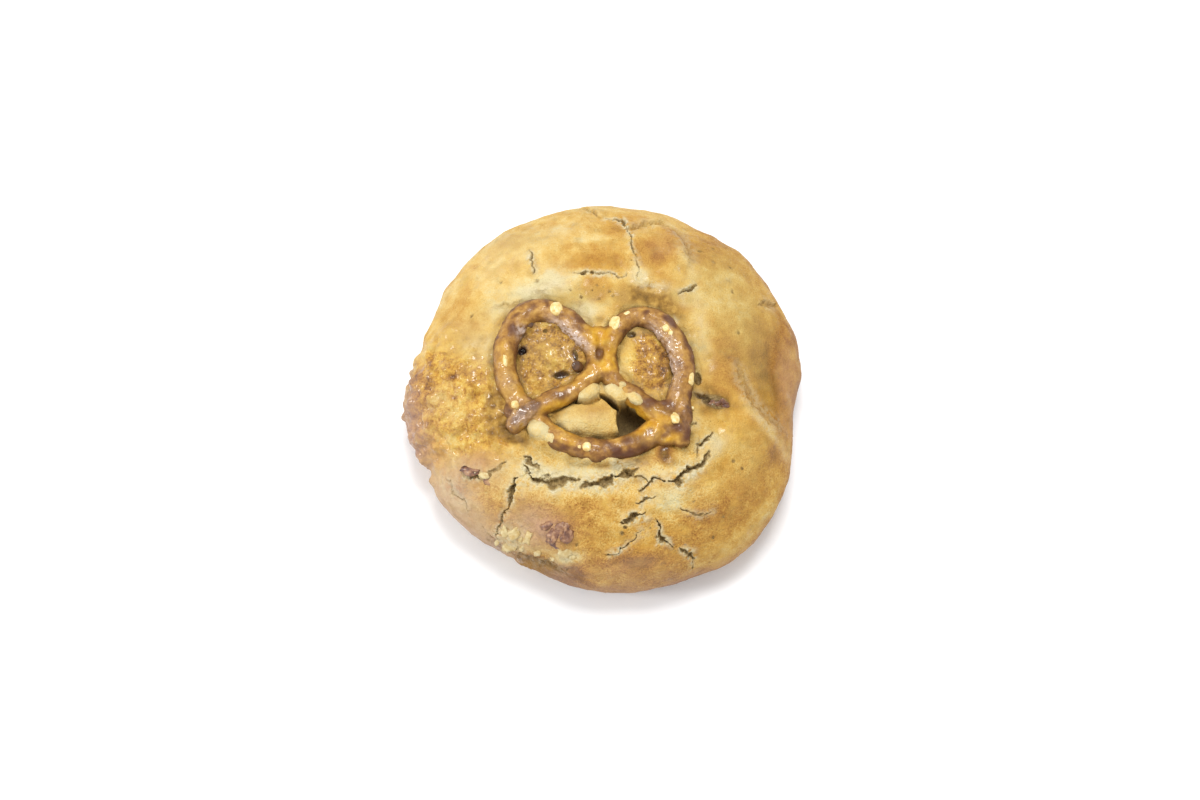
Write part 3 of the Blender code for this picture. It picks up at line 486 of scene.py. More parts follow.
# Where the crust is painted cream-white: chalky dough, and painted highlight along the ridge at (20.2,
# 12.6), the lobe's fold at (33.4, -8.6) and the pale swell at (-2, -8.6).
CHALKY = (
    (-12.8, 19.5, 3.8, 1.3, 4, 1.2), (-9.2, 20.4, 2.2, 1.2, 0, 0.9), (-2.6, 14.4, 2.4, 2, 0, 0.9),
    (-20, 26, 7, 5, 30, 0.3), (-22.4, 7.4, 1.2, 4, 10, 0.5), (-25.6, 7.6, 2.6, 2, 0, 0.5),
    (-20.6, 15, 2, 1.4, 0, 0.6), (7.8, 22, 1.8, 1.6, 0, 0.7), (11.6, 20.2, 2.4, 1, 0, 0.6),
    (17, 17, 1.2, 1.4, 0, 0.5), (18.6, 25.4, 1.2, 3.4, 12, 0.4), (20.2, 12.6, 1.3, 5.6, 6, 0.5),
    (22, 5, 1, 3, 0, 0.3), (33.4, -8.6, 1, 4.4, 50, 0.7), (23.6, -13, 1.3, 2.6, -30, 0.6),
    (-29, -21, 3.4, 8, 40, 0.5), (14, -22.6, 4, 1.2, 10, 0.4), (-2, -8.6, 5, 3, 0, 0.25),
    (-12.6, -18.6, 2.6, 0.9, -20, 0.5),
)
# Where caramel lies on the crust.
CARAMEL = (
    (-34, -1, 7, 9.5, 0, 1.3), (-27, -4, 7, 8, 0, 1.2), (-25.5, -11, 6, 4, 20, 1.1),
    (-36, -9, 4, 6, 0, 0.9), (-21, -4, 3, 6, 10, 0.8), (-10.8, 5.4, 8, 7.5, 0, 1.9),
    (9.8, 3, 4.6, 6.6, 0, 1.6), (12.5, 6.5, 3, 4, 0, 0.7), (23.4, -4.6, 3, 2, 0, 0.6),
    (-18.6, -12, 3.4, 2.4, 30, 0.8), (25.4, -9.4, 3.4, 4.4, -20, 0.5), (11.4, 20.8, 4, 1.4, -10, 0.5),
    (2.4, 22, 3, 2, 0, 0.3), (-16.4, -33, 3.8, 0.6, -16, 1), (-10.6, -34.8, 3.8, 0.6, -20, 1),
    (-21, -30.6, 2, 0.6, -40, 0.8), (12.9, -15.4, 1.2, 1.6, 10, 1),
)

# Where the caramel burnt darker, or stayed paler where the share is below 0.
TOFFEE = (
    (-12, 9.4, 5, 2.4, 0, 0.2), (-7.6, 7, 2.4, 2.4, 0, 0.14), (-15.4, 3, 1.4, 4, 0, 0.12),
    (-12.6, 1.6, 3, 2.4, 0, 0.12), (9, 4, 3.5, 6, 0, 0.22), (13, 2.5, 1.4, 5.5, 0, 0.26),
    (9.6, -2.8, 3.5, 1.6, -30, 0.12), (5.8, 4.8, 1.4, 3.8, 0, -0.5), (8.5, 9.4, 3, 1.2, 0, 0.16),
    (-38.5, -6, 3.5, 9, 0, 0.22), (-36.6, 2, 2, 2, 0, 0.14), (-34.4, -12.6, 2.4, 2, 0, 0.16),
    (-30, -11.8, 2.6, 2, 0, -0.26), (-27.4, -0.6, 2, 1.2, 0, -0.18), (-32, 0.4, 2.4, 1.6, 0, 0.14),
    (-24, 0.2, 2.2, 1.4, 0, 0.12), (-28.6, -6.4, 2.4, 1.4, 0, -0.18), (-24.2, -5.8, 1.2, 2.4, 0, -0.14),
    (-25, 5, 4, 2.4, 0, -0.1), (-28, 1.8, 3, 0.7, 8, 0.2), (25.4, -9.4, 4, 5, 0, -0.16),
    (11.4, 20.8, 4, 2, 0, -0.16), (2.4, 22, 3, 2, 0, -0.1), (8.6, -3.4, 3, 1.4, -35, 0.16),
    (-16.4, 2, 1.2, 4, 0, 0.1), (-8.6, -2.2, 5, 2, 25, 0.24), (-16, 0, 2, 3, 0, 0.14),
    (-14, -33.8, 8, 1.2, -18, 0.8), (12.9, -15.4, 1.4, 1.8, 10, 0.6),
)

# Near-black and glossy: burnt syrup in the loops' holes and in the fold at the foot, with painted shadow in
# the deepest hole at (-15.6, 5.9) and beside the rope at (20, 0.4).
TAR = (
    (-15.6, 5.9, 0.95, 0.95, 0, 2), (-7.9, 1, 1.7, 0.7, 8, 1.1), (-4.2, 2.1, 1.3, 1.3, 0, 0.9),
    (-5.2, 4.9, 0.6, 1.4, 20, 0.6), (6.5, 9.2, 0.9, 0.6, 0, 0.8), (20, 0.4, 0.4, 0.9, 5, 0.5),
    (-13.8, 11.2, 0.8, 0.5, 0, 0.6), (22.4, -4.3, 2, 0.9, -8, 0.6), (19.8, -3.2, 1.2, 0.4, -20, 0.6),
    (-18.5, -31.9, 2.4, 0.4, -28, 0.15), (-13.8, -33.7, 2.8, 0.4, -16, 0.15),
    (-8.8, -35.6, 2.8, 0.4, -30, 0.1),
)

# Crumbly places where the crust broke up: x, y, reach along x and y, turn and share.
CRUMBLY = (
    (-17.6, -29.8, 3, 2, -10, 0.8), (-6.2, -34.2, 2.6, 1, 0, 0.9), (-1, -20.6, 5, 1, 5, 0.7),
    (-7.6, -18.8, 7, 1.4, -4, 0.6), (5, -18, 5, 1.2, 8, 0.5), (14, -18.8, 4, 1, 12, 0.5),
    (-15.4, -20, 1.2, 3, 0, 0.6), (-3, -22, 6, 0.7, 5, 0.5), (-13.4, -17.6, 2, 1.4, -20, 0.9),
    (18, -19.6, 3, 1, 40, 0.6), (8.4, -28, 1.6, 0.8, 20, 0.8), (11.4, 20, 3, 1.2, -10, 0.6),
    (8.6, 21.6, 1.4, 1.6, 0, 0.7),
)

# Where the crust beside the pretzel is painted dark olive-brown: syrup soaked in, and painted shadow under
# the left arm, below the bow, in the valley between the loops and beside the rope on the right.
SYRUP = (
    (8.5, 17.2, 4.2, 1.6, -8, 1.3), (12.5, 16, 2, 1.5, -30, 0.9), (15.8, 13.5, 1.2, 1.8, 30, 0.7),
    (-19.6, -8.6, 2.4, 3, 30, 1.1), (-21.2, -4, 1.4, 3.4, 10, 1.1), (-21.4, -9.8, 2, 2, 0, 0.8),
    (9.2, 19.4, 2, 0.9, -10, 1.3), (22.8, -4, 3.2, 1.8, -8, 1.1), (20.3, -3.6, 1.2, 1, 0, 1.4),
    (6.6, 19.4, 1, 0.8, 0, 1), (13.2, 15.8, 1.4, 2.4, 40, 1), (-16.4, -12.3, 2.6, 1.2, -20, 1.4),
    (12.9, -15.4, 1, 1.5, 10, 0.5), (14.5, -16.8, 1.6, 1, -20, 0.6), (20.6, -1.9, 1.6, 0.9, 0, 0.9),
    (22.6, -5.4, 2, 0.9, 0, 0.8), (5, -17, 3, 0.7, 8, 0.7), (7.6, -20.3, 2.6, 0.8, 20, 0.7),
    (8.2, -16.6, 2.4, 0.8, 14, 0.9), (-8.8, -7.6, 1.6, 0.8, 20, 1), (0.2, 12.4, 1.2, 0.9, 0, 0.8),
)

# Places on the pretzel that are burnt dark, orange where the ropes fused, or glazed with syrup.
DARK_SPOTS = (
    (-10.6, 14.9, 0.7, 1.3, 10, 1.2), (-3.1, 11.4, 1, 0.8, -40, 1.3), (-20.6, 8.4, 0.6, 0.8, 0, 1),
    (-14.6, -7.2, 2, 1.4, 10, 1.2), (-16.4, -9, 1.4, 1, 20, 0.6), (-16.6, 12.9, 1, 0.5, 40, 0.7),
    (9.4, 13.6, 1, 0.6, 0, 1.1), (14.6, 11.2, 2.6, 0.8, -48, 1.2), (18.8, 4.4, 0.9, 5, 4, 1.3),
    (3.4, -15.4, 1, 0.8, 0, 1.1), (7, -15.4, 2.4, 0.9, 15, 0.9), (-5, -14.8, 2.6, 0.8, -15, 0.7),
    (17.6, -11.6, 1, 1.8, 0, 0.9), (18.4, -4, 0.8, 1.6, 0, 0.8), (2, -16.6, 5, 0.6, 3, 0.7),
    (-10, -13, 3, 0.6, -28, 0.6), (-13.6, 14.4, 2.6, 0.8, 28, 0.6), (-12.4, -5.6, 1.6, 1.6, 20, 0.6),
    (10.6, -5.4, 3, 1.6, -38, 0.9), (17.8, 8, 1, 3, 12, 1.1), (6, -12.6, 3, 1.2, 15, 0.5),
    (15.6, -10.8, 1.6, 1.4, 0, 0.5), (11.8, -13.2, 2, 0.8, 25, 0.5), (-17.2, -9.6, 1, 0.8, 20, 1),
    (15.6, -9.4, 2.4, 3, 0, 0.8), (9, -13, 4, 1.6, 28, 0.6), (-16.8, 9, 3, 5, -30, 0.25),
    (-8, -5, 4, 1.4, 25, 0.35), (-15, 12.4, 4, 1.6, 40, 0.3), (0, 4.4, 2, 2.4, 0, 0.4),
    (9.6, -5.8, 4.2, 1.4, -38, 0.55),
)
# Lighter tan places on the pretzel, partly painted highlight along the tops of the ropes and in the middle
# at (1.4, 0.6).
TAN_SPOTS = (
    (-19.4, 4, 1, 7, 2, 0.7), (-16.6, -5.4, 2, 1.6, 0, 0.7), (5, 12.6, 2.4, 0.9, 20, 0.4),
    (12.6, 10.6, 2.6, 0.9, -48, 0.5), (16.4, -7.6, 1.4, 2, 0, 0.5), (-12, -10.4, 3, 1.4, -30, 0.6),
    (0.4, -14.6, 2, 0.9, 0, 0.3), (12.6, -11, 2, 0.9, 32, 0.3), (17.2, 1, 0.8, 4, 0, 0.3),
    (1.4, 0.6, 1.5, 1.4, 0, 1.2),
)
GOLD_SPOTS = (
    (-0.6, 9.2, 2.8, 2, 0, 1.3), (0.6, 6, 2.6, 2, 0, 1), (1.4, 2, 1.8, 2.4, 0, 1.4),
    (1.5, 0.4, 1.1, 0.9, 0, -0.9), (-4.4, -1.2, 2.6, 1, 35, 0.7), (-1, 2.2, 1.6, 1.6, 0, 0.6),
    (-19, 3.2, 1.2, 4, 0, 0.5), (-15.8, -2.6, 2, 1.6, 0, 0.7), (7.6, -7.2, 3.6, 0.9, -38, 1.5),
    (9, -10.8, 3.4, 0.8, 32, 1.3), (9.6, -12.6, 2.6, 0.9, 25, 0.6), (14.8, -9.4, 2, 2, 0, 0.5),
    (-10.4, -6.6, 2.4, 0.8, 20, 0.9), (-7.6, -10.6, 3.4, 0.6, -28, 0.6), (13.4, -12.8, 2.8, 0.9, 10, 1),
    (-7.4, -5.4, 2.4, 0.9, 25, 0.8), (11, -7.4, 3, 1.4, -38, 0.6), (-6, -13.4, 1.6, 0.9, -20, 0.8),
    (-15.6, -10.2, 1.6, 0.6, -20, 0.7),
)
GLAZE_SPOTS = (
    (-5.8, 8.9, 4.8, 1, -40, 1.9), (-15.4, 9.6, 1.4, 1.4, 45, 1.3), (-18.2, -1, 1.3, 3.4, 20, 1.1),
    (14.6, 3, 1.2, 6, 4, 1.9), (11.6, 9.2, 2.4, 1.1, -48, 1.6), (-15.6, -8.2, 2.4, 1.6, 30, 1.9),
    (-14, -6.8, 1.8, 1.6, 0, 1.4), (10.2, -12.2, 1.6, 1, 25, 1.1), (10.4, -8.4, 1, 1, 0, 0.8),
    (-1.8, 0.2, 2.6, 0.7, 35, 0.9), (-6, -3, 2, 0.8, 25, 0.5),
)
# Where a pale painted sheen stands for the light reflected on the pretzel's glaze.
HAZE_SPOTS = (
    (-5.8, 9, 4.2, 0.9, -40, 1), (-15.6, 9.4, 0.9, 1.2, 45, 1), (14.2, 3.4, 0.9, 5, 4, 0.6),
    (11.2, 9.4, 1.8, 0.8, -48, 0.5), (-15.4, -8.2, 1.8, 0.9, 30, 0.3),
)
# The blistered tip of the left arm, and the dark dimple between the two lobes.
TIP_SPOT = ((-15, -7.8, 2.6, 1.8, 25, 1),)
DIMPLE = (-0.1, 4.9, 0.9, 1.5, 0)
DIMPLE_DEPTH = 0.7
DIMPLE_SPOT = ((-0.1, 4.9, 0.95, 1.5, 0, 1.6),)

# Nut pieces, candy chunks and beads of burnt syrup that stand out of the crust: x, y, half length,
# half width, half height and turn in degrees.
NUTS = (
    (-14.5, -30.7, 1.1, 0.9, 0.8, 70), (-17.2, -29.8, 1.2, 0.9, 0.5, 20),
    (-19.2, -29.2, 0.8, 0.6, 0.4, 130), (-17.9, -31.5, 1.4, 0.9, 0.5, 10),
    (-15.7, -32, 0.7, 0.5, 0.4, 40), (-20.6, -30.2, 0.7, 0.5, 0.3, 60),
    (-16, -30.9, 0.6, 0.5, 0.3, 100), (-12.6, -33.2, 0.8, 0.5, 0.4, 160),
    (-9.6, -34.5, 0.6, 0.4, 0.3, 150), (-7, -33.9, 1.2, 0.8, 0.4, 170),
    (-5.4, -34.9, 0.7, 0.5, 0.4, 150), (-23.3, -18.9, 1, 0.6, 0.5, 160),
)
CANDY = (
    (-8.6, -30.6, 2, 1.4, 0.4, 35), (-6.5, -31.2, 1.7, 1.1, 0.4, 60), (-9, -32, 1.5, 0.9, 0.3, -20),
    (-7.2, -29.3, 1.4, 0.9, 0.4, 20), (-10.8, -29, 1.2, 0.8, 0.3, 10), (23.4, -4.3, 1.5, 0.8, 0.5, 10),
    (24.9, -3.9, 1.1, 0.8, 0.4, -20), (25.2, -4.9, 0.8, 0.5, 0.3, 0),
    (-25.8, -17.8, 2.3, 0.85, 0.45, -14), (-22.4, -20, 1.1, 0.7, 0.3, -50),
)
SYRUP_BEADS = (
    (-4.4, 2.3, 1.25, 1.2, 0.9, 0), (-5.4, 4.9, 1.2, 0.45, 0.3, 120), (-13.9, 11.1, 0.7, 0.5, 0.3, 20),
)

# The toppings and webs: how deep they sink in, how far off the slope is measured that they lie
# along, how rough, blocky and fine they are, where the numbers of their own shapes start, and the
# height from which the crust is looked for.
SALT_SINK = 0.25
SALT_LEAN = 0.5
SALT_RISE = 0.15
SALT_ROUGHNESS = 0.2
SALT_SEED = 5
PIECE_SINK = 0.4
PIECE_LEAN = 2
PIECE_SEED = 17
WEB_ROUGHNESS = 0.1
BLOCKY = 0.8
ROUND = 1
CHIP_LEVEL = 3
CHIP_LUMPS = (0.9, 2)
RAY_HEIGHT = 50

# The lamps are bright enough to burn the table out to white, so a food's own colour is this much
# darker than it looks under them.
DIMMER = 0.74

# Colours are red, green and blue as they look in the photograph's light, from 0 to 255. A run of
# them starts with each one's place from 0 to 1.
BAKED_DOUGH = (
    (0.00, (238, 224, 172)),
    (0.18, (240, 212, 142)),
    (0.34, (231, 191, 106)),
    (0.52, (211, 161, 76)),
    (0.70, (186, 132, 60)),
    (0.86, (150, 100, 48)),
    (1.00, (108, 68, 36)),
)
BOILED_CARAMEL = (
    (0.00, (92, 58, 30)),
    (0.20, (140, 92, 44)),
    (0.40, (190, 136, 58)),
    (0.58, (218, 167, 72)),
    (0.78, (236, 196, 94)),
    (1.00, (240, 212, 132)),
)
LYE_SKIN = (
    (0.00, (88, 56, 34)),
    (0.28, (138, 92, 44)),
    (0.55, (182, 132, 62)),
    (0.80, (214, 168, 86)),
    (1.00, (240, 204, 122)),
)
GOLDEN_SKIN = ((0.3, (198, 136, 22)), (0.6, (228, 174, 50)), (0.8, (246, 206, 96)))
SHADED_SKIN = ((0.3, (88, 56, 38)), (0.7, (140, 94, 52)))
SOAKED_DOUGH = ((0.3, (112, 78, 30)), (0.5, (162, 120, 50)), (0.7, (212, 168, 84)))
TORN_CRUMB = ((0.3, (214, 196, 146)), (0.7, (240, 228, 190)))
# The crumb inside the splits and holes and the dough in the hollow are painted darker, as shade.
SPLIT_CRUMB = ((0.3, (118, 90, 48)), (0.7, (196, 168, 112)))
HOLLOW_DOUGH = ((0.3, (132, 110, 74)), (0.7, (168, 142, 92)))
BURNT_SYRUP = ((0.3, (44, 32, 28)), (0.7, (96, 66, 52)))
SALT_CREAM = ((0.3, (232, 184, 96)), (0.5, (248, 218, 140)), (0.7, (254, 238, 180)))
PALE_NUT = ((0.3, (200, 166, 96)), (0.7, (236, 218, 164)))
ROSY_TOFFEE = ((0.3, (88, 52, 44)), (0.5, (142, 96, 68)), (0.7, (196, 150, 108)))
SYRUP_BROWN = ((0.3, (58, 36, 24)), (0.7, (118, 78, 42)))
FRECKLE = (118, 76, 42)
ROSY_TINT = (196, 160, 142)
OLIVE_TINT = (182, 162, 100)
GOLD_TINT = (222, 164, 48)
DULL_TINT = (206, 176, 136)
CHALK_WHITE = (236, 222, 180)
CONTACT_SHADE = (112, 84, 40)
BURNT_SKIN = (102, 58, 34)
SYRUP_HAZE = (246, 226, 216)
GLAZE_TINT = (214, 172, 122)

# The crust is thinned to at most this many triangles.
CRUST_TRIANGLES = 196000

# The photograph's view: the camera looks down at the middle of the cookie.
VIEW_ELEVATION_DEG = 74
VIEW_DISTANCE = 581
VIEW_TARGET_HEIGHT = 10
LENS = 85
SENSOR = 36
CLIP = (0.01, 20)

# The studio, in metres: the table, the strength of the pale sky, and each lamp's name, place, size
# and power.
TABLE_SIZE = 6
TABLE_COLOUR = (0.93, 0.935, 0.95, 1)
SKY_STRENGTH = 0.84
LAMP_TARGET_HEIGHT = 0.01
LAMPS = (
    ("above", (0.04, 0.24, 0.76), 0.28, 4.2),
    ("left", (-0.52, -0.10, 0.36), 0.14, 1.3),
)


def smooth_share(value, low, high):
    """0 below low, 1 above high, and a smooth rise between them."""
    share = np.clip((value - low) / (high - low), 0, 1)
    return share * share * (3 - 2 * share)


def wandering(points, size, length, offset):
    """Smooth noise of about that size at each point, in one of several independent patterns."""
    shift = Vector((offset, -2 * offset, 3 * offset))
    return size * np.array([noise.noise(Vector(p) / length + shift) for p in points])


def rough(points, size, length, octaves, offset):
    """Noise with finer and finer detail down to a fraction of its length."""
    shift = Vector((offset, -2 * offset, 3 * offset))
    return size * np.array([noise.fractal(Vector(p) / length + shift, 0.8, 2.1, octaves) for p in points])


def rim_radius(around):
    """Radius of the outline in each direction, in radians."""
    radius = np.full_like(around, COOKIE_RADIUS)
    for direction, spread, size in RIM_BULGES:
        apart = np.degrees(around) - direction
        apart = (apart + 180) % 360 - 180
        radius = radius + size * np.exp(-((apart / spread) ** 2))
    return radius


def plain_cookie(around, fall):
    """Points of the smooth cookie for directions round it and falls from its top, in degrees."""
    on_dome = np.clip(fall / DOME_END_DEG, 0, 1) * math.pi / 2
    on_flank = np.clip((fall - DOME_END_DEG) / (FLANK_END_DEG - DOME_END_DEG), 0, 1) * math.pi / 2
    on_base = np.clip((fall - FLANK_END_DEG) / (180 - FLANK_END_DEG), 0, 1)
    share = np.sin(on_dome)
    rise = DOME_HEIGHT - WIDEST_HEIGHT
    height = WIDEST_HEIGHT + rise * np.sqrt(np.clip(1 - share**DOME_FLATNESS, 0, 1))
    height = height - WIDEST_HEIGHT * np.sin(on_flank)
    share = (share - BASE_UNDERCUT * (1 - np.cos(on_flank))) * (1 - on_base)
    radius = rim_radius(around) * share
    x = COOKIE_MIDDLE[0] + radius * np.cos(around)
    y = COOKIE_MIDDLE[1] + radius * np.sin(around)
    return np.stack([x, y, height], axis=1)


def on_plain_cookie(unit):
    """Points of the smooth cookie for points of a ball round the origin."""
    unit = unit / np.linalg.norm(unit, axis=1)[:, None]
    around = np.arctan2(unit[:, 1], unit[:, 0])
    fall = np.degrees(np.arccos(np.clip(unit[:, 2], -1, 1)))
    return plain_cookie(around, fall)


def near_route(x, y, route):
    """Distance to a route seen from above, share of the way along it, and side: 1 left, -1 right."""
    route = np.array(route, float)
    lengths = np.linalg.norm(np.diff(route, axis=0), axis=1)
    starts = np.concatenate([[0], np.cumsum(lengths)[:-1]])
    best = np.full(len(x), FAR)
    along = np.zeros(len(x))
    side = np.ones(len(x))
    for (ax, ay), (bx, by), length, start in zip(route, route[1:], lengths, starts):
        ux, uy = (bx - ax) / length, (by - ay) / length
        run = np.clip((x - ax) * ux + (y - ay) * uy, 0, length)
        distance = np.hypot(x - ax - run * ux, y - ay - run * uy)
        closer = distance < best
        best = np.where(closer, distance, best)
        along = np.where(closer, (start + run) / lengths.sum(), along)
        turn = ux * (y - ay) - uy * (x - ax)
        side = np.where(closer, np.sign(turn + 1e-9), side)
    return best, along, side


def spot_share(points, x, y, reach_x, reach_y, turn):
    """Distance from a spot's middle, where 1 is its edge, for an oval turned by that many degrees."""
    cos, sin = math.cos(math.radians(turn)), math.sin(math.radians(turn))
    off_x, off_y = points[:, 0] - x, points[:, 1] - y
    return np.hypot((off_x * cos + off_y * sin) / reach_x, (off_y * cos - off_x * sin) / reach_y)


def spots(points, rows):
    """Sum of soft oval spots: x, y, reach along x and y, turn and share."""
    total = np.zeros(len(points))
    for x, y, reach_x, reach_y, turn, share in rows:
        total += share * np.exp(-(spot_share(points, x, y, reach_x, reach_y, turn) ** 2))
    return total


def plates(points):
    """Sum of the plates' shares, each even over the plate and falling off at a ragged edge."""
    wander = 1 + wandering(points, *PLATE_SWAY, 76) + rough(points, *PLATE_RAG, 77)
    total = np.zeros(len(points))
    for x, y, half_x, half_y, turn, share in PLATES:
        total += share * np.exp(-((wander * spot_share(points, x, y, half_x, half_y, turn)) ** PLATE_EDGE))
    return total


def rope_points(route):
    """The route as a smooth run of points, each with its rope radius as the fourth value."""
    knots = np.array(route, float)
    knots = np.vstack([2 * knots[0] - knots[1], knots, 2 * knots[-1] - knots[-2]])
    smooth = []
    for before, start, end, after in zip(knots, knots[1:], knots[2:], knots[3:]):
        steps = max(2, math.ceil(np.linalg.norm(end[:2] - start[:2]) / ROPE_STEP))
        for t in np.arange(steps) / steps:
            smooth.append(
                0.5 * (2 * start + (end - before) * t
                       + (2 * before - 5 * start + 4 * end - after) * t**2
                       + (3 * start - before - 3 * end + after) * t**3)
            )
    smooth.append(knots[-2])
    return np.array(smooth)


def beside_rope(points):
    """How far each point lies outside the rope seen from above, and the height of its middle there."""
    nearest = np.full(len(points), FAR)
    middle = np.full(len(points), PRETZEL_HEIGHT)
    for route in (BOW, LEFT_ARM, RIGHT_ARM):
        for x, y, rise, radius in rope_points(route):
            apart = np.hypot(points[:, 0] - x, points[:, 1] - y) - radius
            closer = apart < nearest
            nearest = np.where(closer, apart, nearest)
            middle = np.where(closer, PRETZEL_HEIGHT + rise, middle)
    return nearest, middle


def rope_top(x, y):
    """Height of the pretzel's upper skin at a place on it."""
    highest = PRETZEL_HEIGHT
    for route in (BOW, LEFT_ARM, RIGHT_ARM):
        for px, py, rise, radius in rope_points(route):
            inside = radius**2 - (px - x) ** 2 - (py - y) ** 2
            if inside > 0:
                highest = max(highest, PRETZEL_HEIGHT + rise + math.sqrt(inside))
    return highest


# Mesh tools


def values_of(mesh, name):
    """The three-part value of that name at every vertex, one row each."""
    values = np.empty(len(mesh.vertices) * 3, np.float32)
    mesh.vertices.foreach_get(name, values)
    return values.reshape(-1, 3).astype(float)


def place_vertices(mesh, points):
    """Moves every vertex to its new place."""
    mesh.vertices.foreach_set("co", points.astype(np.float32).ravel())
    mesh.update()


def note_on(mesh, **notes):
    """Stores one number a vertex under each name, for the material to read."""
    for name, values in notes.items():
        stored = mesh.attributes.new(name, "FLOAT", "POINT")
        stored.data.foreach_set("value", np.clip(values, -1, 2).astype(np.float32))


def deselect_all():
    """Leaves nothing selected, because an operator acts on all that is."""
    if bpy.context.mode != "OBJECT":
        bpy.ops.object.mode_set(mode="OBJECT")
    bpy.ops.object.select_all(action="DESELECT")


def pick(obj):
    """Makes one object the only one selected, and the active one."""
    deselect_all()
    obj.select_set(True)
    bpy.context.view_layer.objects.active = obj


def apply_all(obj):
    """Applies every modifier of the object in turn."""
    pick(obj)
    for name in [modifier.name for modifier in obj.modifiers]:
        bpy.ops.object.modifier_apply(modifier=name)


def split_faces(obj, wanted):
    """Subdivides the faces whose numbers are wanted once, in edit mode."""
    pick(obj)
    bpy.ops.object.mode_set(mode="EDIT")
    bpy.ops.mesh.select_mode(type="FACE")
    bpy.ops.mesh.select_all(action="DESELECT")
    bpy.ops.object.mode_set(mode="OBJECT")
    obj.data.polygons.foreach_set("select", wanted)
    bpy.ops.object.mode_set(mode="EDIT")
    bpy.ops.mesh.subdivide(number_cuts=1)
    bpy.ops.object.mode_set(mode="OBJECT")


def finish_piece(obj, material):
    """Moves a piece from the drawing into the solids' box, gives it its finish and puts it on the body."""
    obj.data.transform(Matrix.Translation(Vector((*SHIFT, 0))))
    obj.data.transform(Matrix.Scale(MM, 4))
    place_vertices(obj.data, np.clip(values_of(obj.data, "co"), cad_low, cad_high))
    obj.data.materials.clear()
    obj.data.materials.append(material)
    obj.data.shade_smooth()
    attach(obj, "root")
    return obj


# Crust


def split_place(points):
    """Where each point lies for the splits, whose routes sway and jitter."""
    x = points[:, 0] + wandering(points, *CRACK_WANDER, 1.7) + wandering(points, *CRACK_JITTER, 2.9)
    y = points[:, 1] + wandering(points, *CRACK_WANDER, 4.1) + wandering(points, *CRACK_JITTER, 6.3)
    return x, y


def crack_relief(points):
    """Lift of the crust from its splits, and how open and how torn it is at each point."""
    x, y = split_place(points)
    x = x + rough(points, *CRACK_TEAR, 11.3)
    y = y + rough(points, *CRACK_TEAR, 14.9)
    wide = np.clip(1 + wandering(points, *CRACK_SWING, 21.1), *CRACK_SWING_LIMITS)
    ragged = rough(points, *CRACK_RAG, 23.7)
    lift = np.zeros(len(points))
    open_share = np.zeros(len(points))
    torn = np.zeros(len(points))
    for name, (half_width, depth, left, right, reach, route) in CRACKS.items():
        fold = name in FOLDS
        flat, deepness, openness, tearing = FOLDED if fold else OPEN_SPLIT
        distance, along, side = near_route(x, y, route)
        full = np.sin(np.pi * along) ** 0.5
        ledge = np.where(side > 0, left, right) * smooth_share(distance, 0, half_width)
        lift += ledge * full * np.exp(-((distance / reach) ** 2))
        width = half_width * (full * (FOLD_WIDTH if fold else wide)) + LEAST_WIDTH
        if not fold:
            distance = distance + ragged * min(RAG_MOST, half_width / RAG_FROM)
        inside = 1 - smooth_share(distance, flat * width, 1.15 * width)
        lift -= depth * deepness * full * inside
        open_share = np.maximum(open_share, openness * inside * np.minimum(1, 2 * full))
        lip = np.exp(-(((distance - width) / (LIP_WIDTH + LIP_WIDTH * half_width)) ** 2)) * full
        torn = np.maximum(torn, tearing * lip)
    for half_width, depth, route in HAIRLINES:
        distance, along, _ = near_route(x, y, route)
        full = np.sin(np.pi * np.clip(along, 0.02, 0.98)) ** 0.5
        width = half_width * full * wide + LEAST_WIDTH
        inside = 1 - smooth_share(distance, 0.4 * width, 1.2 * width)
        lift -= depth * inside
        open_share = np.maximum(open_share, 0.8 * inside)
        torn = np.maximum(torn, 0.5 * np.exp(-((distance / HAIRLINE_LIP) ** 2)))
    fade = smooth_share(points[:, 2], *CRACK_FADE)
    return lift * fade, open_share * fade, torn * fade


def swell_relief(points):
    """Lift at each point from the soft swells and hollows."""
    lift = np.zeros(len(points))
    for x, y, reach_x, reach_y, height in SWELLS:
        off_x, off_y = (points[:, 0] - x) / reach_x, (points[:, 1] - y) / reach_y
        lift += height * np.exp(-(off_x**2) - off_y**2)
    return lift


def lump_relief(points):
    """Lift at each point from the nibs, nuts and candy, each set on the surface where it lies."""
    lift = np.zeros(len(points))
    for x, y, radius, height in LUMPS:
        apart = np.hypot(points[:, 0] - x, points[:, 1] - y)
        apart = np.where(points[:, 2] < WIDEST_HEIGHT, apart + (WIDEST_HEIGHT - points[:, 2]), apart)
        lift += height * np.exp(-((apart / radius) ** 4))
    return lift


def blister_relief(points):
    """Lift at each point from the blisters of the caramel, scattered by one seeded draw."""
    draw = np.random.default_rng(BLISTER_SEED)
    around, fall = draw.normal(0, BLISTER_SCATTER, (2, BLISTER_COUNT))
    around = np.radians(CARAMEL_AT_DEG[0] + CARAMEL_REACH_DEG[0] * around)
    fall = np.clip(CARAMEL_AT_DEG[1] + CARAMEL_REACH_DEG[1] * fall, *BLISTER_FALLS)
    radii = draw.uniform(*BLISTER_RADIUS, BLISTER_COUNT)
    heights = draw.uniform(*BLISTER_HEIGHT, BLISTER_COUNT)
    lift = np.zeros(len(points))
    for centre, radius, height in zip(plain_cookie(around, fall), radii, heights):
        apart = np.linalg.norm(points - centre, axis=1)
        lift = np.maximum(lift, height * np.exp(-((apart / radius) ** 2)))
    return lift


def bubbles(points, size, offset):
    """Round bubbles side by side: 1 at the middle of each and 0 between them."""
    shift = Vector((offset, 2 * offset, -offset))
    found = [noise.voronoi(Vector(p) / size + shift)[0] for p in points]
    near = np.array([distances[0] for distances in found])
    return np.clip(1 - (near / BUBBLE_SHARE) ** 2, 0, 1)


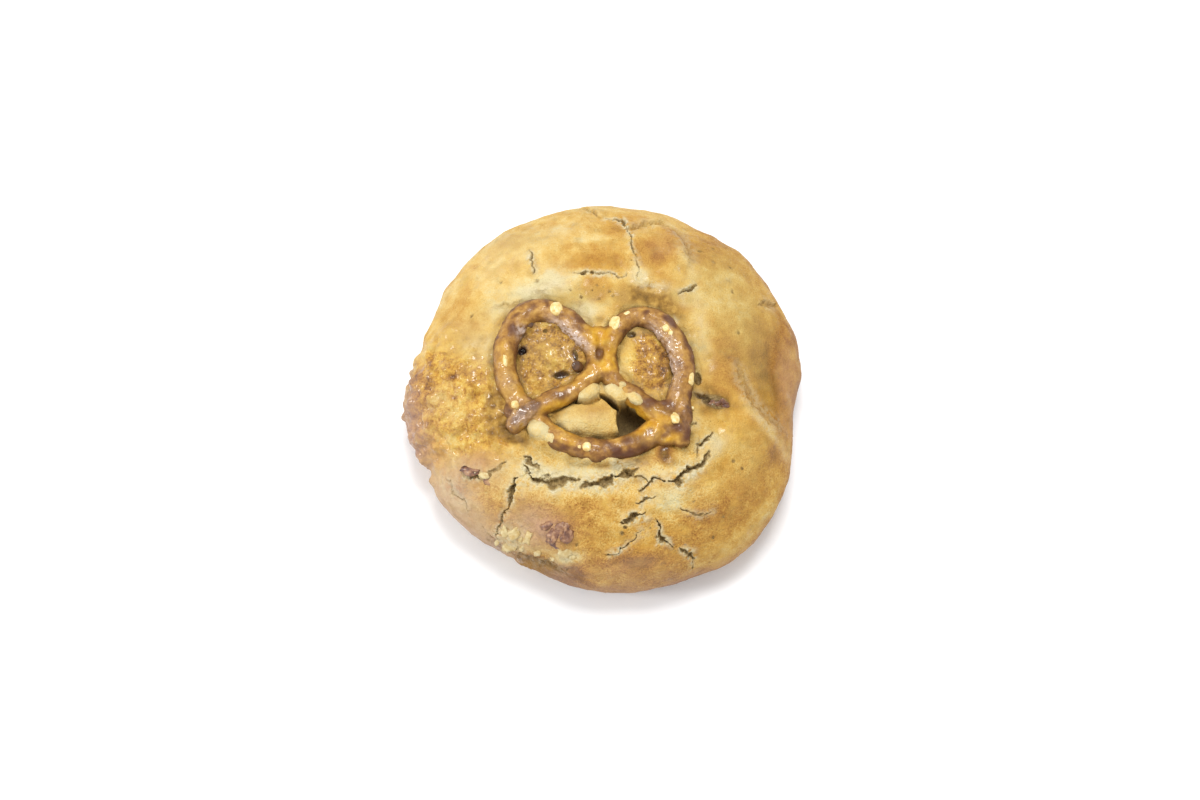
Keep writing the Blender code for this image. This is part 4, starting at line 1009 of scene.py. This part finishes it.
def fine_zone(points):
    """How many times the crust's faces are split for their detail, from 0 to the finest."""
    height = points[:, 2]
    on_top = height > WIDEST_HEIGHT
    level = np.where(height > WIDEST_HEIGHT - FLANK_DROP, 1, 0)
    busy = np.hypot(points[:, 0], points[:, 1]) < BUSY_RADIUS
    busy = busy | ((points[:, 1] < BUSY_FRONT) & (height > BUSY_HEIGHT)) | (spots(points, CARAMEL) > 0.5)
    level = np.where(busy & on_top, 2, level)
    x, y = split_place(points)
    for name, (half_width, _, _, _, _, route) in CRACKS.items():
        reach = (1.3 * half_width + SPLIT_MARGIN) * (0.8 if name in FOLDS else 1)
        near = near_route(x, y, route)[0] < reach
        level = np.where(near & (height > CRACK_FADE[0]), FINEST, level)
    for _, _, route in HAIRLINES:
        level = np.where(near_route(x, y, route)[0] < SPLIT_MARGIN, FINEST, level)
    wells = [(*row[:5], HOLE_MARGIN) for row in HOLES]
    wells += [(*GAP, HOLE_MARGIN), (*HOLLOW, SPLIT_MARGIN)]
    for at_x, at_y, half_x, half_y, turn, margin in wells:
        near = spot_share(points, at_x, at_y, half_x + margin, half_y + margin, turn) < 1
        level = np.where(near & on_top, FINEST, level)
    return level


def ball_of_dough():
    """A ball of triangles, smallest where the crust will have the most detail."""
    bpy.ops.mesh.primitive_ico_sphere_add(subdivisions=BALL_LEVEL, radius=1)
    ball = bpy.context.object
    for step in range(1, FINEST + 1):
        centres = np.empty(len(ball.data.polygons) * 3, np.float32)
        ball.data.polygons.foreach_get("center", centres)
        split_faces(ball, fine_zone(on_plain_cookie(centres.reshape(-1, 3).astype(float))) >= step)
    return ball


def grain_relief(points, grain, broken):
    """Lift at each point from the crust's grain, and from the crumb where the crust is broken."""
    lift = rough(points, *COARSE_GRAIN, 53) * (0.5 + 0.5 * grain)
    lift = lift + rough(points, *FINE_GRAIN, 51) * (0.2 + 1.2 * grain)
    return lift + (rough(points, *FINE_CRUMB, 61) + rough(points, *COARSE_CRUMB, 63)) * broken


def caramel_relief(points, caramel):
    """Lift at each point from the boiled caramel, and how far up a bubble each point is."""
    lift = np.zeros(len(points))
    bubble = np.zeros(len(points))
    bubbly = caramel > LEAST_CARAMEL
    near = points[bubbly]
    bubble[bubbly] = bubbles(near, BUBBLE_SIZE, 3) * (0.5 + wandering(near, *BUBBLE_SWING, 5))
    ripple = rough(near, *COARSE_RIPPLE, 17) + rough(near, *FINE_RIPPLE, 19)
    lift[bubbly] = caramel[bubbly] * (BUBBLE_HEIGHT * bubble[bubbly] + ripple)
    return lift, bubble


def lap_pretzel(points):
    """Height of the dough beside and over the pretzel, and three more numbers for each point.

    These are its distance outside the rope, how much dough covers the rope there, and how far the
    point is in dough that stuck.
    """
    side, middle = beside_rope(points)
    outside = np.clip(side, 0, None)
    cover = COVER + spots(points, COVERED) + wandering(points, *COVER_WANDER, 44)
    cover = np.clip(cover, 0, COVER_MOST)
    seat = middle - SEAT_DROP + SEAT_SLOPE * np.clip(side + SEAT_INSET + cover, 0, None)
    height = np.where(side < SEAT_REACH, np.minimum(points[:, 2], seat), points[:, 2])
    collar = middle - COLLAR_DROP + COLLAR_RISE * cover
    collar = collar + wandering(points, *COLLAR_WANDER, 41) + rough(points, *COLLAR_RAG, 42)
    collar = collar - COLLAR_FALL * outside - LAP_FALL * np.clip(-COLLAR_LAP - side, 0, None)
    height = np.where(side < COLLAR_REACH, np.maximum(height, collar), height)
    in_window = spot_share(points, *WINDOW) < 1
    groove = GROOVE_DEPTH + wandering(points, *GROOVE_WANDER, 43) + WINDOW_GROOVE * in_window
    groove = np.clip(groove * np.clip(1 - cover, 0, 1), 0, None)
    height = height - groove * np.exp(-((outside / GROOVE_WIDTH) ** 2))
    knobbly = 1 + wandering(points, *STUCK_KNOBS, 45) + rough(points, *STUCK_RAG, 46)
    stuck = np.zeros(len(points))
    for x, y, half_length, half_width, turn, top in STUCK_DOUGH:
        off = knobbly * spot_share(points, x, y, half_length, half_width, turn)
        cap = PRETZEL_HEIGHT + top - STUCK_CROWN * off**2 - STUCK_FLANK * np.clip(off - 1, 0, None)
        height = height - MOAT_DEPTH * in_window * np.exp(-(((off - STUCK_EDGE) / MOAT_WIDTH) ** 2))
        height = np.where(off < STUCK_EDGE, np.maximum(height, cap), height)
        stuck = np.maximum(stuck, 1 - smooth_share(off, 1, STUCK_EDGE))
    return height, side, cover, stuck


def bowl(share):
    """Depth of a round bowl: 1 at its middle, and 0 past its edge, where the share is 1."""
    return np.clip(1 - share**2, 0, 1) ** 0.5


def dig_holes(points, height):
    """Height of the crust with its holes and pores dug in, and how far each point is in one."""
    dug = np.zeros(len(points))
    pores = [(x, y, half, half, 0, PORE_DEPTH * half) for x, y, half in PORES]
    for x, y, half_x, half_y, turn, depth in [*HOLES, *pores]:
        inside = bowl(spot_share(points, x, y, half_x, half_y, turn))
        height = height - depth * inside
        dug = np.maximum(dug, np.minimum(1, 1.6 * inside))
    return height, dug


def dig_hollow(points, plain, height, stuck):
    """Height of the dough with the hollow and its gap opened, and how far each point is in them."""
    ragged = 1 + rough(plain, *HOLLOW_RAG, 27)
    beside_swell = smooth_share(spot_share(points, *PALE_SWELL), *SWELL_EDGE) * ragged
    hollow = bowl(ragged * spot_share(points, *HOLLOW)) * beside_swell * (1 - stuck)
    height = np.where(hollow > 0, np.minimum(height, HOLLOW_TOP - HOLLOW_DEPTH * hollow), height)
    gap = bowl(ragged * spot_share(points, *GAP)) * beside_swell
    height = height - GAP_DEPTH * gap * (1 - smooth_share(hollow, 0, 0.4))
    return height, smooth_share(np.maximum(hollow, 0.8 * gap), 0.05, 0.5)


def shape_crust(mesh):
    """Moves the ball's vertices to the cookie's surface with all its relief, and notes the browning and the
    painted shade and highlight.
    """
    plain = on_plain_cookie(values_of(mesh, "co"))
    place_vertices(mesh, plain)
    outward = values_of(mesh, "normal")
    crack_lift, open_share, torn = crack_relief(plain)
    crumbly = np.clip(spots(plain, CRUMBLY), 0, 1)
    broken = np.clip(open_share + 0.6 * torn + crumbly, 0, 1.2)
    caramel = np.clip(spots(plain, CARAMEL) + wandering(plain, *CARAMEL_EDGE, 31), 0, 1)
    caramel = caramel * smooth_share(plain[:, 2], *CARAMEL_FADE)
    front = smooth_share(-plain[:, 1], *GRAINY_FRONT) * (1 - 0.6 * smooth_share(plain[:, 0], *SMOOTH_RIGHT))
    grain = np.clip(0.3 + 0.7 * front, 0, 1) * (1 - caramel)
    caramel_lift, bubble = caramel_relief(plain, caramel)
    lift = wandering(plain, *UNEVEN, 0.3) + wandering(plain, *FINE_UNEVEN, 8.9)
    lift = lift + swell_relief(plain) + crack_lift + lump_relief(plain) + blister_relief(plain)
    lift = lift + grain_relief(plain, grain, broken) + caramel_lift
    points = plain + outward * (lift * smooth_share(plain[:, 2], *BASE_FADE))[:, None]
    on_top = points[:, 2] > WIDEST_HEIGHT
    height, side, cover, stuck = lap_pretzel(points)
    height, dug = dig_holes(points, height)
    height, hollow = dig_hollow(points, plain, height, stuck)
    points[:, 2] = np.where(on_top, height, points[:, 2])
    place_vertices(mesh, points)
    rim = smooth_share(-plain[:, 2], *RIM_FADE)
    bake = BROWNING + spots(plain, BROWNED) + plates(plain) - spots(plain, PALE) + RIM_BAKE * rim
    bake = bake + wandering(plain, *BAKE_PATCHES, 71) + wandering(plain, *BAKE_MOTTLES, 72)
    caramel = caramel * (1 - stuck)
    # Painted contact shade: the dough is darkened next to the rope, where shade falls.
    contact = np.clip(CONTACT_SHARE + wandering(plain, *CONTACT_WANDER, 74), 0, 1) * (1 - stuck)
    contact = contact * np.clip(COVER_MOST - cover, 0, 1)
    near_rope = np.exp(-((np.clip(side, 0, None) / CONTACT_WIDTH) ** 2))
    note_on(
        mesh,
        bake=bake - STUCK_PALER * stuck,
        rosy=spots(plain, ROSY) + RIM_ROSY * rim,
        golden=spots(plain, GOLDEN) * (1 - 0.7 * stuck) + 0.3 * stuck,
        caramel=caramel,
        bubble=bubble,
        toffee=spots(plain, TOFFEE),
        chalk=np.clip(spots(plain, CHALKY), 0, 1),
        tar=np.clip(spots(plain, TAR), 0, 1) * on_top,
        contact=near_rope * contact * on_top,
        syrup=np.clip(spots(plain, SYRUP) + wandering(plain, *SYRUP_EDGE, 73), 0, 1),
        torn=np.clip(torn + crumbly, 0, 1) * (1 - 0.6 * caramel),
        open_split=np.maximum(open_share, np.maximum(dug, hollow) * on_top),
        pit=hollow * on_top,
        grain=grain,
    )


def make_crust(material):
    """The cookie itself, in place of its plain solid."""
    deselect_all()
    crust = ball_of_dough()
    crust.name = "cookie_crust"
    shape_crust(crust.data)
    flat = crust.modifiers.new("flat", "TRIANGULATE")
    flat.min_vertices = 4
    thin = crust.modifiers.new("thin", "DECIMATE")
    thin.ratio = min(1, CRUST_TRIANGLES / (2 * len(crust.data.vertices) - 4))
    apply_all(crust)
    finish_piece(crust, material)
    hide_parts("cookie")
    return crust


# Pretzel


def make_rope(name, route):
    """A round rope of changing thickness with rounded ends, as a list of closed meshes."""
    curve = bpy.data.curves.new(name, "CURVE")
    curve.dimensions = "3D"
    curve.bevel_depth = 1
    curve.bevel_resolution = ROPE_BEVEL
    curve.use_fill_caps = True
    points = rope_points(route)
    spline = curve.splines.new("POLY")
    spline.points.add(len(points) - 1)
    for knot, (x, y, rise, radius) in zip(spline.points, points):
        place = Vector((x / ROPE_SWING_LENGTH, y / ROPE_SWING_LENGTH, 3.3))
        knot.co = (x, y, PRETZEL_HEIGHT + rise, 1)
        knot.radius = radius * (1 + ROPE_SWING * noise.noise(place))
    rope = bpy.data.objects.new(name, curve)
    bpy.context.scene.collection.objects.link(rope)
    pick(rope)
    bpy.ops.object.convert(target="MESH")
    parts = [rope]
    for x, y, rise, radius in (points[0], points[-1]):
        bpy.ops.mesh.primitive_uv_sphere_add(
            segments=ROPE_END_SEGMENTS,
            ring_count=ROPE_END_RINGS,
            radius=radius,
            location=(x, y, PRETZEL_HEIGHT + rise),
        )
        parts.append(bpy.context.object)
    return parts


def join_all(parts):
    """Joins meshes into the first of them."""
    deselect_all()
    for part in parts:
        part.select_set(True)
    bpy.context.view_layer.objects.active = parts[0]
    if len(parts) > 1:
        bpy.ops.object.join()
    bpy.ops.object.transform_apply(location=True, rotation=True, scale=True)
    return parts[0]


def melt_together(obj):
    """Turns overlapping closed shells into one smooth skin."""
    melt = obj.modifiers.new("melt", "REMESH")
    melt.mode = "VOXEL"
    melt.voxel_size = PRETZEL_VOXEL
    relax = obj.modifiers.new("relax", "SMOOTH")
    relax.factor = RELAX_FACTOR
    relax.iterations = RELAX_STEPS
    apply_all(obj)


def shape_pretzel(mesh):
    """Gives the bare ropes their wrinkles and blisters, and notes the browning of the skin, its painted
    side shade and its painted sheen.
    """
    points = values_of(mesh, "co")
    outward = values_of(mesh, "normal")
    glaze = np.clip(spots(points, GLAZE_SPOTS) + wandering(points, *GLAZE_EDGE, 83), 0, 1)
    blisters = bubbles(points, GLAZE_BUBBLE, 5) + rough(points, *GLAZE_ROUGH, 87)
    lift = wandering(points, *SKIN_SWELLS, 81) + rough(points, *SKIN_WRINKLES, 82)
    lift = lift + (GLAZE_LIFT + TIP_LIFT * spots(points, TIP_SPOT)) * glaze * blisters
    upper = outward[:, 2] > FACING_UP
    lift = lift - DIMPLE_DEPTH * np.clip(1 - spot_share(points, *DIMPLE) ** 2, 0, 1) * upper
    stain = spots(points, DIMPLE_SPOT) * upper
    points = points + outward * lift[:, None]
    place_vertices(mesh, points)
    edge = smooth_share(beside_rope(points)[0] + wandering(points, *EDGE_WANDER, 86), *SIDE_EDGE)
    facing = smooth_share(outward[:, 2] + wandering(points, *FACING_WANDER, 86), *SIDE_FACING)
    dark = spots(points, DARK_SPOTS) + wandering(points, *DARK_WANDER, 84) + DARK_LEVEL
    note_on(
        mesh,
        dark=np.clip(np.maximum(dark - spots(points, TAN_SPOTS), stain), -1, 1),
        gold=np.clip(spots(points, GOLD_SPOTS) + wandering(points, *GOLD_WANDER, 85), 0, 1),
        glaze=glaze,
        haze=np.clip(spots(points, HAZE_SPOTS), 0, 1),
        side=np.maximum(edge, 1 - facing),
    )


def make_pretzel(material):
    """The pretzel's skin, in place of its plain solid."""
    parts = []
    for name, route in (("bow", BOW), ("left_arm", LEFT_ARM), ("right_arm", RIGHT_ARM)):
        parts += make_rope(name, route)
    for number, (x, y, rise, half_x, half_y, half_z, turn) in enumerate(WEBS):
        place = (x, y, PRETZEL_HEIGHT + rise)
        parts.append(make_chip(place, (half_x, half_y, half_z), turn, WEB_ROUGHNESS, number))
    pretzel = join_all(parts)
    pretzel.name = "pretzel_skin"
    melt_together(pretzel)
    shape_pretzel(pretzel.data)
    finish_piece(pretzel, material)
    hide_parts("pretzel")
    return pretzel


# Toppings


def crust_height(crust_tree, x, y):
    """Height of the crust above a place, in millimetres."""
    start = Vector(((x + SHIFT[0]) * MM, (y + SHIFT[1]) * MM, RAY_HEIGHT * MM))
    hit = crust_tree.ray_cast(start, Vector((0, 0, -1)))[0]
    return hit.z / MM


def make_chip(place, half_sizes, turn, roughness, seed, blockiness=BLOCKY):
    """A small lump: a rough ball, more like a block the further its blockiness is below 1."""
    bpy.ops.mesh.primitive_ico_sphere_add(subdivisions=CHIP_LEVEL, radius=1)
    chip = bpy.context.object
    ball = values_of(chip.data, "co")
    faceted = np.sign(ball) * np.abs(ball) ** blockiness
    faceted = faceted * (1 + rough(ball, roughness, *CHIP_LUMPS, 3.7 * seed))[:, None]
    cos, sin = math.cos(math.radians(turn)), math.sin(math.radians(turn))
    scaled = faceted * np.array(half_sizes)
    turned = np.stack(
        [scaled[:, 0] * cos - scaled[:, 1] * sin, scaled[:, 0] * sin + scaled[:, 1] * cos, scaled[:, 2]],
        axis=1,
    )
    place_vertices(chip.data, turned + np.array(place))
    return chip


def lean(mesh, place, height_at, reach):
    """Leans a lump so that it lies along the slope of what it sits on."""
    x, y = place[:2]
    step_x, step_y = -math.copysign(reach, x), -math.copysign(reach, y)
    along_x = (height_at(x + step_x, y) - height_at(x, y)) / step_x
    along_y = (height_at(x, y + step_y) - height_at(x, y)) / step_y
    along_x, along_y = np.clip((along_x, along_y), -1, 1)
    points = values_of(mesh, "co")
    points[:, 2] += (points[:, 0] - x) * along_x + (points[:, 1] - y) * along_y
    place_vertices(mesh, points)


def make_salt(material):
    """The grains of baking salt pressed into the pretzel."""
    grains = []
    for number, (x, y, half_length, half_width, turn) in enumerate(SALT_GRAINS):
        place = (x, y, rope_top(x, y) - SALT_SINK)
        half_sizes = (half_width, half_length, 0.5 * half_width + SALT_RISE)
        grain = make_chip(place, half_sizes, turn, SALT_ROUGHNESS, SALT_SEED + number)
        lean(grain.data, place, rope_top, SALT_LEAN)
        grains.append(grain)
    salt = join_all(grains)
    salt.name = "salt_grains"
    return finish_piece(salt, material)


def make_pieces(name, rows, crust_tree, material, roughness, blockiness):
    """Chips of nut, candy or burnt syrup half sunk in the crust."""
    chips = []
    for number, (x, y, half_length, half_width, half_height, turn) in enumerate(rows):
        place = (x, y, crust_height(crust_tree, x, y) - PIECE_SINK * half_height)
        half_sizes = (half_length, half_width, half_height)
        chip = make_chip(place, half_sizes, turn, roughness, PIECE_SEED + number, blockiness)
        lean(chip.data, place, lambda at_x, at_y: crust_height(crust_tree, at_x, at_y), PIECE_LEAN)
        chips.append(chip)
    made = join_all(chips)
    made.name = name
    return finish_piece(made, material)


# Finishes


def paint(red, green, blue):
    """A colour as it looks under the lamps, in the shader's own numbers."""
    shares = [part / 255 for part in (red, green, blue)]
    light = [share / 12.92 if share <= 0.04045 else ((share + 0.055) / 1.055) ** 2.4 for share in shares]
    return (*[DIMMER * part for part in light], 1)


class Finish:
    """One material, built up from shader nodes."""

    def __init__(self, name):
        self.material = bpy.data.materials.new(name)
        self.material.use_nodes = True
        self.tree = self.material.node_tree
        self.shader = self.tree.nodes["Principled BSDF"]
        self.place = self.tree.nodes.new("ShaderNodeTexCoord").outputs["Object"]

    def feed(self, socket, value):
        """Gives a socket a link or a fixed value."""
        if isinstance(value, bpy.types.NodeSocket):
            self.tree.links.new(value, socket)
        else:
            socket.default_value = value

    def note(self, name):
        """The number that the mesh keeps under a name."""
        node = self.tree.nodes.new("ShaderNodeAttribute")
        node.attribute_name = name
        return node.outputs["Fac"]

    def noise(self, length, detail=2, roughness=0.5):
        """Cloudy noise whose patches are about that many millimetres across."""
        node = self.tree.nodes.new("ShaderNodeTexNoise")
        node.inputs["Scale"].default_value = 1 / (length * MM)
        node.inputs["Detail"].default_value = detail
        node.inputs["Roughness"].default_value = roughness
        self.tree.links.new(self.place, node.inputs["Vector"])
        return node.outputs["Fac"]

    def maths(self, operation, first, second, third=0):
        """One sum on two or three numbers."""
        node = self.tree.nodes.new("ShaderNodeMath")
        node.operation = operation
        for socket, value in zip(node.inputs, (first, second, third)):
            self.feed(socket, value)
        return node.outputs[0]

    def plus(self, first, second):
        return self.maths("ADD", first, second)

    def minus(self, first, second):
        return self.maths("SUBTRACT", first, second)

    def times(self, first, second):
        return self.maths("MULTIPLY", first, second)

    def larger(self, first, second):
        return self.maths("MAXIMUM", first, second)

    def scaled(self, value, size, start):
        """The value times the size, counted from the start."""
        return self.maths("MULTIPLY_ADD", value, size, start)

    def centred(self, value, size):
        """A noise value moved to swing round 0 by that much."""
        return self.scaled(value, size, -size / 2)

    def sharpen(self, value, low, high):
        """0 where the value is below low, 1 above high."""
        node = self.tree.nodes.new("ShaderNodeMapRange")
        node.interpolation_type = "SMOOTHSTEP"
        self.feed(node.inputs["Value"], value)
        node.inputs["From Min"].default_value = low
        node.inputs["From Max"].default_value = high
        return node.outputs["Result"]

    def ramp(self, value, stops):
        """A run of colours along a value."""
        node = self.tree.nodes.new("ShaderNodeValToRGB")
        elements = node.color_ramp.elements
        while len(elements) < len(stops):
            elements.new(0.5)
        for element, (position, colour) in zip(elements, stops):
            element.position = position
            element.color = paint(*colour)
        self.feed(node.inputs["Fac"], value)
        return node.outputs["Color"]

    def mix(self, share, first, second):
        """One colour going over into another."""
        node = self.tree.nodes.new("ShaderNodeMix")
        node.data_type = "RGBA"
        self.feed(node.inputs[0], share)
        self.feed(node.inputs[6], first)
        self.feed(node.inputs[7], second)
        return node.outputs[2]

    def layers(self, colour, rows):
        """Lays tints over a colour: where each one lies, its strength there, and the tint."""
        for share, strength, tint in rows:
            colour = self.mix(self.times(share, strength), colour, tint)
        return colour

    def bump(self, height, distance, below=None):
        """Fine relief: the height's full swing stands that many millimetres high."""
        node = self.tree.nodes.new("ShaderNodeBump")
        node.inputs["Distance"].default_value = distance * MM
        self.feed(node.inputs["Height"], height)
        if below is not None:
            self.tree.links.new(below, node.inputs["Normal"])
        return node.outputs["Normal"]

    def done(self, **sockets):
        """Sets the shader's own sockets and hands the material over."""
        for name, value in sockets.items():
            self.feed(self.shader.inputs[name.replace("_", " ")], value)
        return self.material


def dough_colour(f, mid, fine, tiny):
    """Baked dough with a fine grain, and dark freckles where it is grainy."""
    grain = f.note("grain")
    speck = f.plus(f.centred(fine, 0.9), f.centred(tiny, 0.9))
    bake = f.plus(f.note("bake"), f.centred(mid, 0.34))
    bake = f.plus(bake, f.times(speck, f.scaled(grain, 0.56, 0.1)))
    freckle = f.times(f.sharpen(f.noise(0.8), 0.66, 0.78), f.scaled(grain, 0.4, 0.12))
    return f.mix(freckle, f.ramp(bake, BAKED_DOUGH), paint(*FRECKLE))


def caramel_colour(f, fine, tiny):
    """Boiled caramel, paler on its bubbles and darker where it burnt."""
    tone = f.plus(f.centred(f.noise(1.6, 3, 0.6), 1.3), f.times(f.note("bubble"), 0.18))
    tone = f.plus(tone, f.centred(f.noise(3.4, 1), 0.5))
    tone = f.minus(f.plus(tone, f.centred(fine, 0.6)), f.note("toffee"))
    tone = f.plus(tone, f.centred(tiny, 0.4))
    return f.ramp(f.plus(tone, 0.56), BOILED_CARAMEL)


def crust_finish():
    """Baked dough: browned where the heat caught it, pale where it tore, caramel on the left, with painted
    shade and highlight.
    """
    f = Finish("baked_crust")
    mid, fine, tiny = f.noise(1.7, 3), f.noise(0.6, 3, 0.6), f.noise(0.3)
    caramel, deep, tar = f.note("caramel"), f.note("open_split"), f.note("tar")
    rosy, golden = f.note("rosy"), f.note("golden")
    chalk = f.times(f.note("chalk"), f.sharpen(f.plus(mid, f.centred(fine, 0.4)), 0.3, 0.62))
    torn = f.times(f.note("torn"), f.sharpen(f.noise(0.9), 0.3, 0.55))
    colour = f.mix(caramel, dough_colour(f, mid, fine, tiny), caramel_colour(f, fine, tiny))
    # Painted shade: the syrup's shadow, the crumb in the splits, the hollow, the tar's shadow and the
    # contact shade; painted highlight: part of the chalk.
    colour = f.layers(colour, (
        (rosy, 0.55, paint(*ROSY_TINT)),
        (rosy, -0.6, paint(*OLIVE_TINT)),
        (golden, 0.35, paint(*GOLD_TINT)),
        (golden, -0.35, paint(*DULL_TINT)),
        (chalk, 0.8, paint(*CHALK_WHITE)),
        (f.note("syrup"), 0.9, f.ramp(mid, SOAKED_DOUGH)),
        (torn, 1, f.ramp(fine, TORN_CRUMB)),
        (deep, 0.9, f.ramp(f.noise(0.7), SPLIT_CRUMB)),
        (f.note("pit"), 0.9, f.ramp(mid, HOLLOW_DOUGH)),
        (tar, 1, f.ramp(fine, BURNT_SYRUP)),
        (f.note("contact"), 0.75, paint(*CONTACT_SHADE)),
    ))
    pools = f.scaled(f.sharpen(f.noise(2.2), 0.48, 0.66), 0.7, 0.06)
    pools = f.larger(pools, f.times(f.sharpen(f.noise(0.45), 0.56, 0.64), 0.5))
    wet = f.larger(f.times(f.times(caramel, pools), f.minus(1, deep)), tar)
    return f.done(
        Base_Color=colour,
        Roughness=f.scaled(wet, -0.38, f.scaled(fine, 0.3, 0.45)),
        Normal=f.bump(tiny, 0.1, f.bump(fine, 0.22)),
        Coat_Weight=wet,
        Coat_Roughness=0.16,
        Coat_IOR=1.65,
        Specular_IOR_Level=0.2,
        IOR=1.45,
    )


def pretzel_finish():
    """Lye-browned skin with a syrup glaze in places, painted shade on its sides and a painted sheen."""
    f = Finish("pretzel_skin")
    slow, mid, fine = f.noise(3.6), f.noise(1.3, 3, 0.65), f.noise(0.45, 3)
    dark, gold, glaze = f.note("dark"), f.note("gold"), f.note("glaze")
    tone = f.plus(f.plus(f.centred(slow, 0.9), f.centred(mid, 0.8)), 0.5)
    tone = f.minus(f.plus(tone, f.centred(fine, 0.35)), f.times(dark, 0.4))
    # Painted shade on the rope's sides, less where the skin is golden.
    shaded = f.times(f.note("side"), f.scaled(gold, -0.8, 0.85))
    # A painted sheen: pale patches that stand for the glaze reflecting the light.
    haze = f.times(f.note("haze"), f.sharpen(f.noise(0.9, 3), 0.36, 0.56))
    skin = f.layers(f.ramp(tone, LYE_SKIN), (
        (gold, 1, f.ramp(mid, GOLDEN_SKIN)),
        (shaded, 1, f.ramp(mid, SHADED_SKIN)),
        (dark, 0.85, paint(*BURNT_SKIN)),
        (haze, 0.9, paint(*SYRUP_HAZE)),
        (glaze, 0.15, paint(*GLAZE_TINT)),
    ))
    normal = f.bump(fine, 0.08, f.bump(mid, 0.16))
    return f.done(
        Base_Color=skin,
        Roughness=f.scaled(glaze, -0.22, f.scaled(fine, 0.25, 0.34)),
        Normal=f.bump(f.times(glaze, f.noise(0.5)), 0.22, normal),
        Coat_Weight=f.scaled(glaze, 0.95, 0.03),
        Coat_Roughness=0.08,
        Coat_IOR=1.65,
        Specular_IOR_Level=0.3,
        IOR=1.48,
    )


def salt_finish():
    """Cream baking salt, a little glassy."""
    f = Finish("baking_salt")
    return f.done(
        Base_Color=f.ramp(f.noise(0.8), SALT_CREAM),
        Roughness=0.38,
        Normal=f.bump(f.noise(0.5), 0.1),
        Coat_Weight=0.3,
        Coat_Roughness=0.2,
        IOR=1.5,
    )


def nut_finish():
    """Pale roasted peanut, broken."""
    f = Finish("peanut_pieces")
    colour = f.ramp(f.noise(1, 3), PALE_NUT)
    return f.done(Base_Color=colour, Roughness=0.5, Normal=f.bump(f.noise(0.4), 0.1))


def candy_finish():
    """Dark toffee candy with a rosy cast."""
    f = Finish("candy_pieces")
    return f.done(
        Base_Color=f.ramp(f.noise(1.1, 3), ROSY_TOFFEE),
        Roughness=0.4,
        Normal=f.bump(f.noise(0.5), 0.2),
        Coat_Weight=0.25,
        Coat_Roughness=0.15,
    )


def bead_finish():
    """Burnt syrup set in beads."""
    f = Finish("burnt_syrup")
    colour = f.ramp(f.noise(0.8), SYRUP_BROWN)
    return f.done(Base_Color=colour, Roughness=0.25, Coat_Weight=0.5, Coat_Roughness=0.12)


# Studio


def make_camera():
    """The camera at the photograph's angle."""
    camera = bpy.data.objects.new("camera", bpy.data.cameras.new("camera"))
    bpy.context.scene.collection.objects.link(camera)
    camera.data.lens = LENS
    camera.data.sensor_width = SENSOR
    tilt = math.radians(VIEW_ELEVATION_DEG)
    camera.location = Vector((
        SHIFT[0],
        SHIFT[1] - VIEW_DISTANCE * math.cos(tilt),
        VIEW_TARGET_HEIGHT + VIEW_DISTANCE * math.sin(tilt),
    )) * MM
    camera.rotation_euler = (math.radians(90) - tilt, 0, 0)
    camera.data.clip_start, camera.data.clip_end = CLIP
    bpy.context.scene.camera = camera


def soft_light(name, place, size, power):
    """A square lamp that looks at the cookie."""
    data = bpy.data.lights.new(name, "AREA")
    data.size = size
    data.energy = power
    lamp = bpy.data.objects.new(name, data)
    bpy.context.scene.collection.objects.link(lamp)
    lamp.location = place
    away = Vector(place) - Vector((0, 0, LAMP_TARGET_HEIGHT))
    lamp.rotation_euler = away.to_track_quat("Z", "Y").to_euler()


def make_studio():
    """A white table under a pale sky of light, with one soft lamp behind the cookie and one to its left."""
    bpy.ops.mesh.primitive_plane_add(size=TABLE_SIZE)
    table = bpy.context.object
    table.name = "table"
    table.data.materials.append(Finish("white_table").done(Base_Color=TABLE_COLOUR, Roughness=0.9))
    world = bpy.data.worlds.new("studio")
    world.use_nodes = True
    sky = world.node_tree.nodes["Background"]
    sky.inputs["Color"].default_value = (1, 1, 1, 1)
    sky.inputs["Strength"].default_value = SKY_STRENGTH
    bpy.context.scene.world = world
    for lamp in LAMPS:
        soft_light(*lamp)
    bpy.context.scene.view_settings.view_transform = "Standard"


def main():
    """Makes every piece, and then the studio round them."""
    make_camera()
    crust = make_crust(crust_finish())
    make_pretzel(pretzel_finish())
    make_salt(salt_finish())
    crust_tree = BVHTree.FromObject(crust, bpy.context.evaluated_depsgraph_get())
    make_pieces("nut_pieces", NUTS, crust_tree, nut_finish(), 0.7, BLOCKY)
    make_pieces("candy_pieces", CANDY, crust_tree, candy_finish(), 0.6, ROUND)
    make_pieces("syrup_beads", SYRUP_BEADS, crust_tree, bead_finish(), 0.05, ROUND)
    deselect_all()
    make_studio()


main()
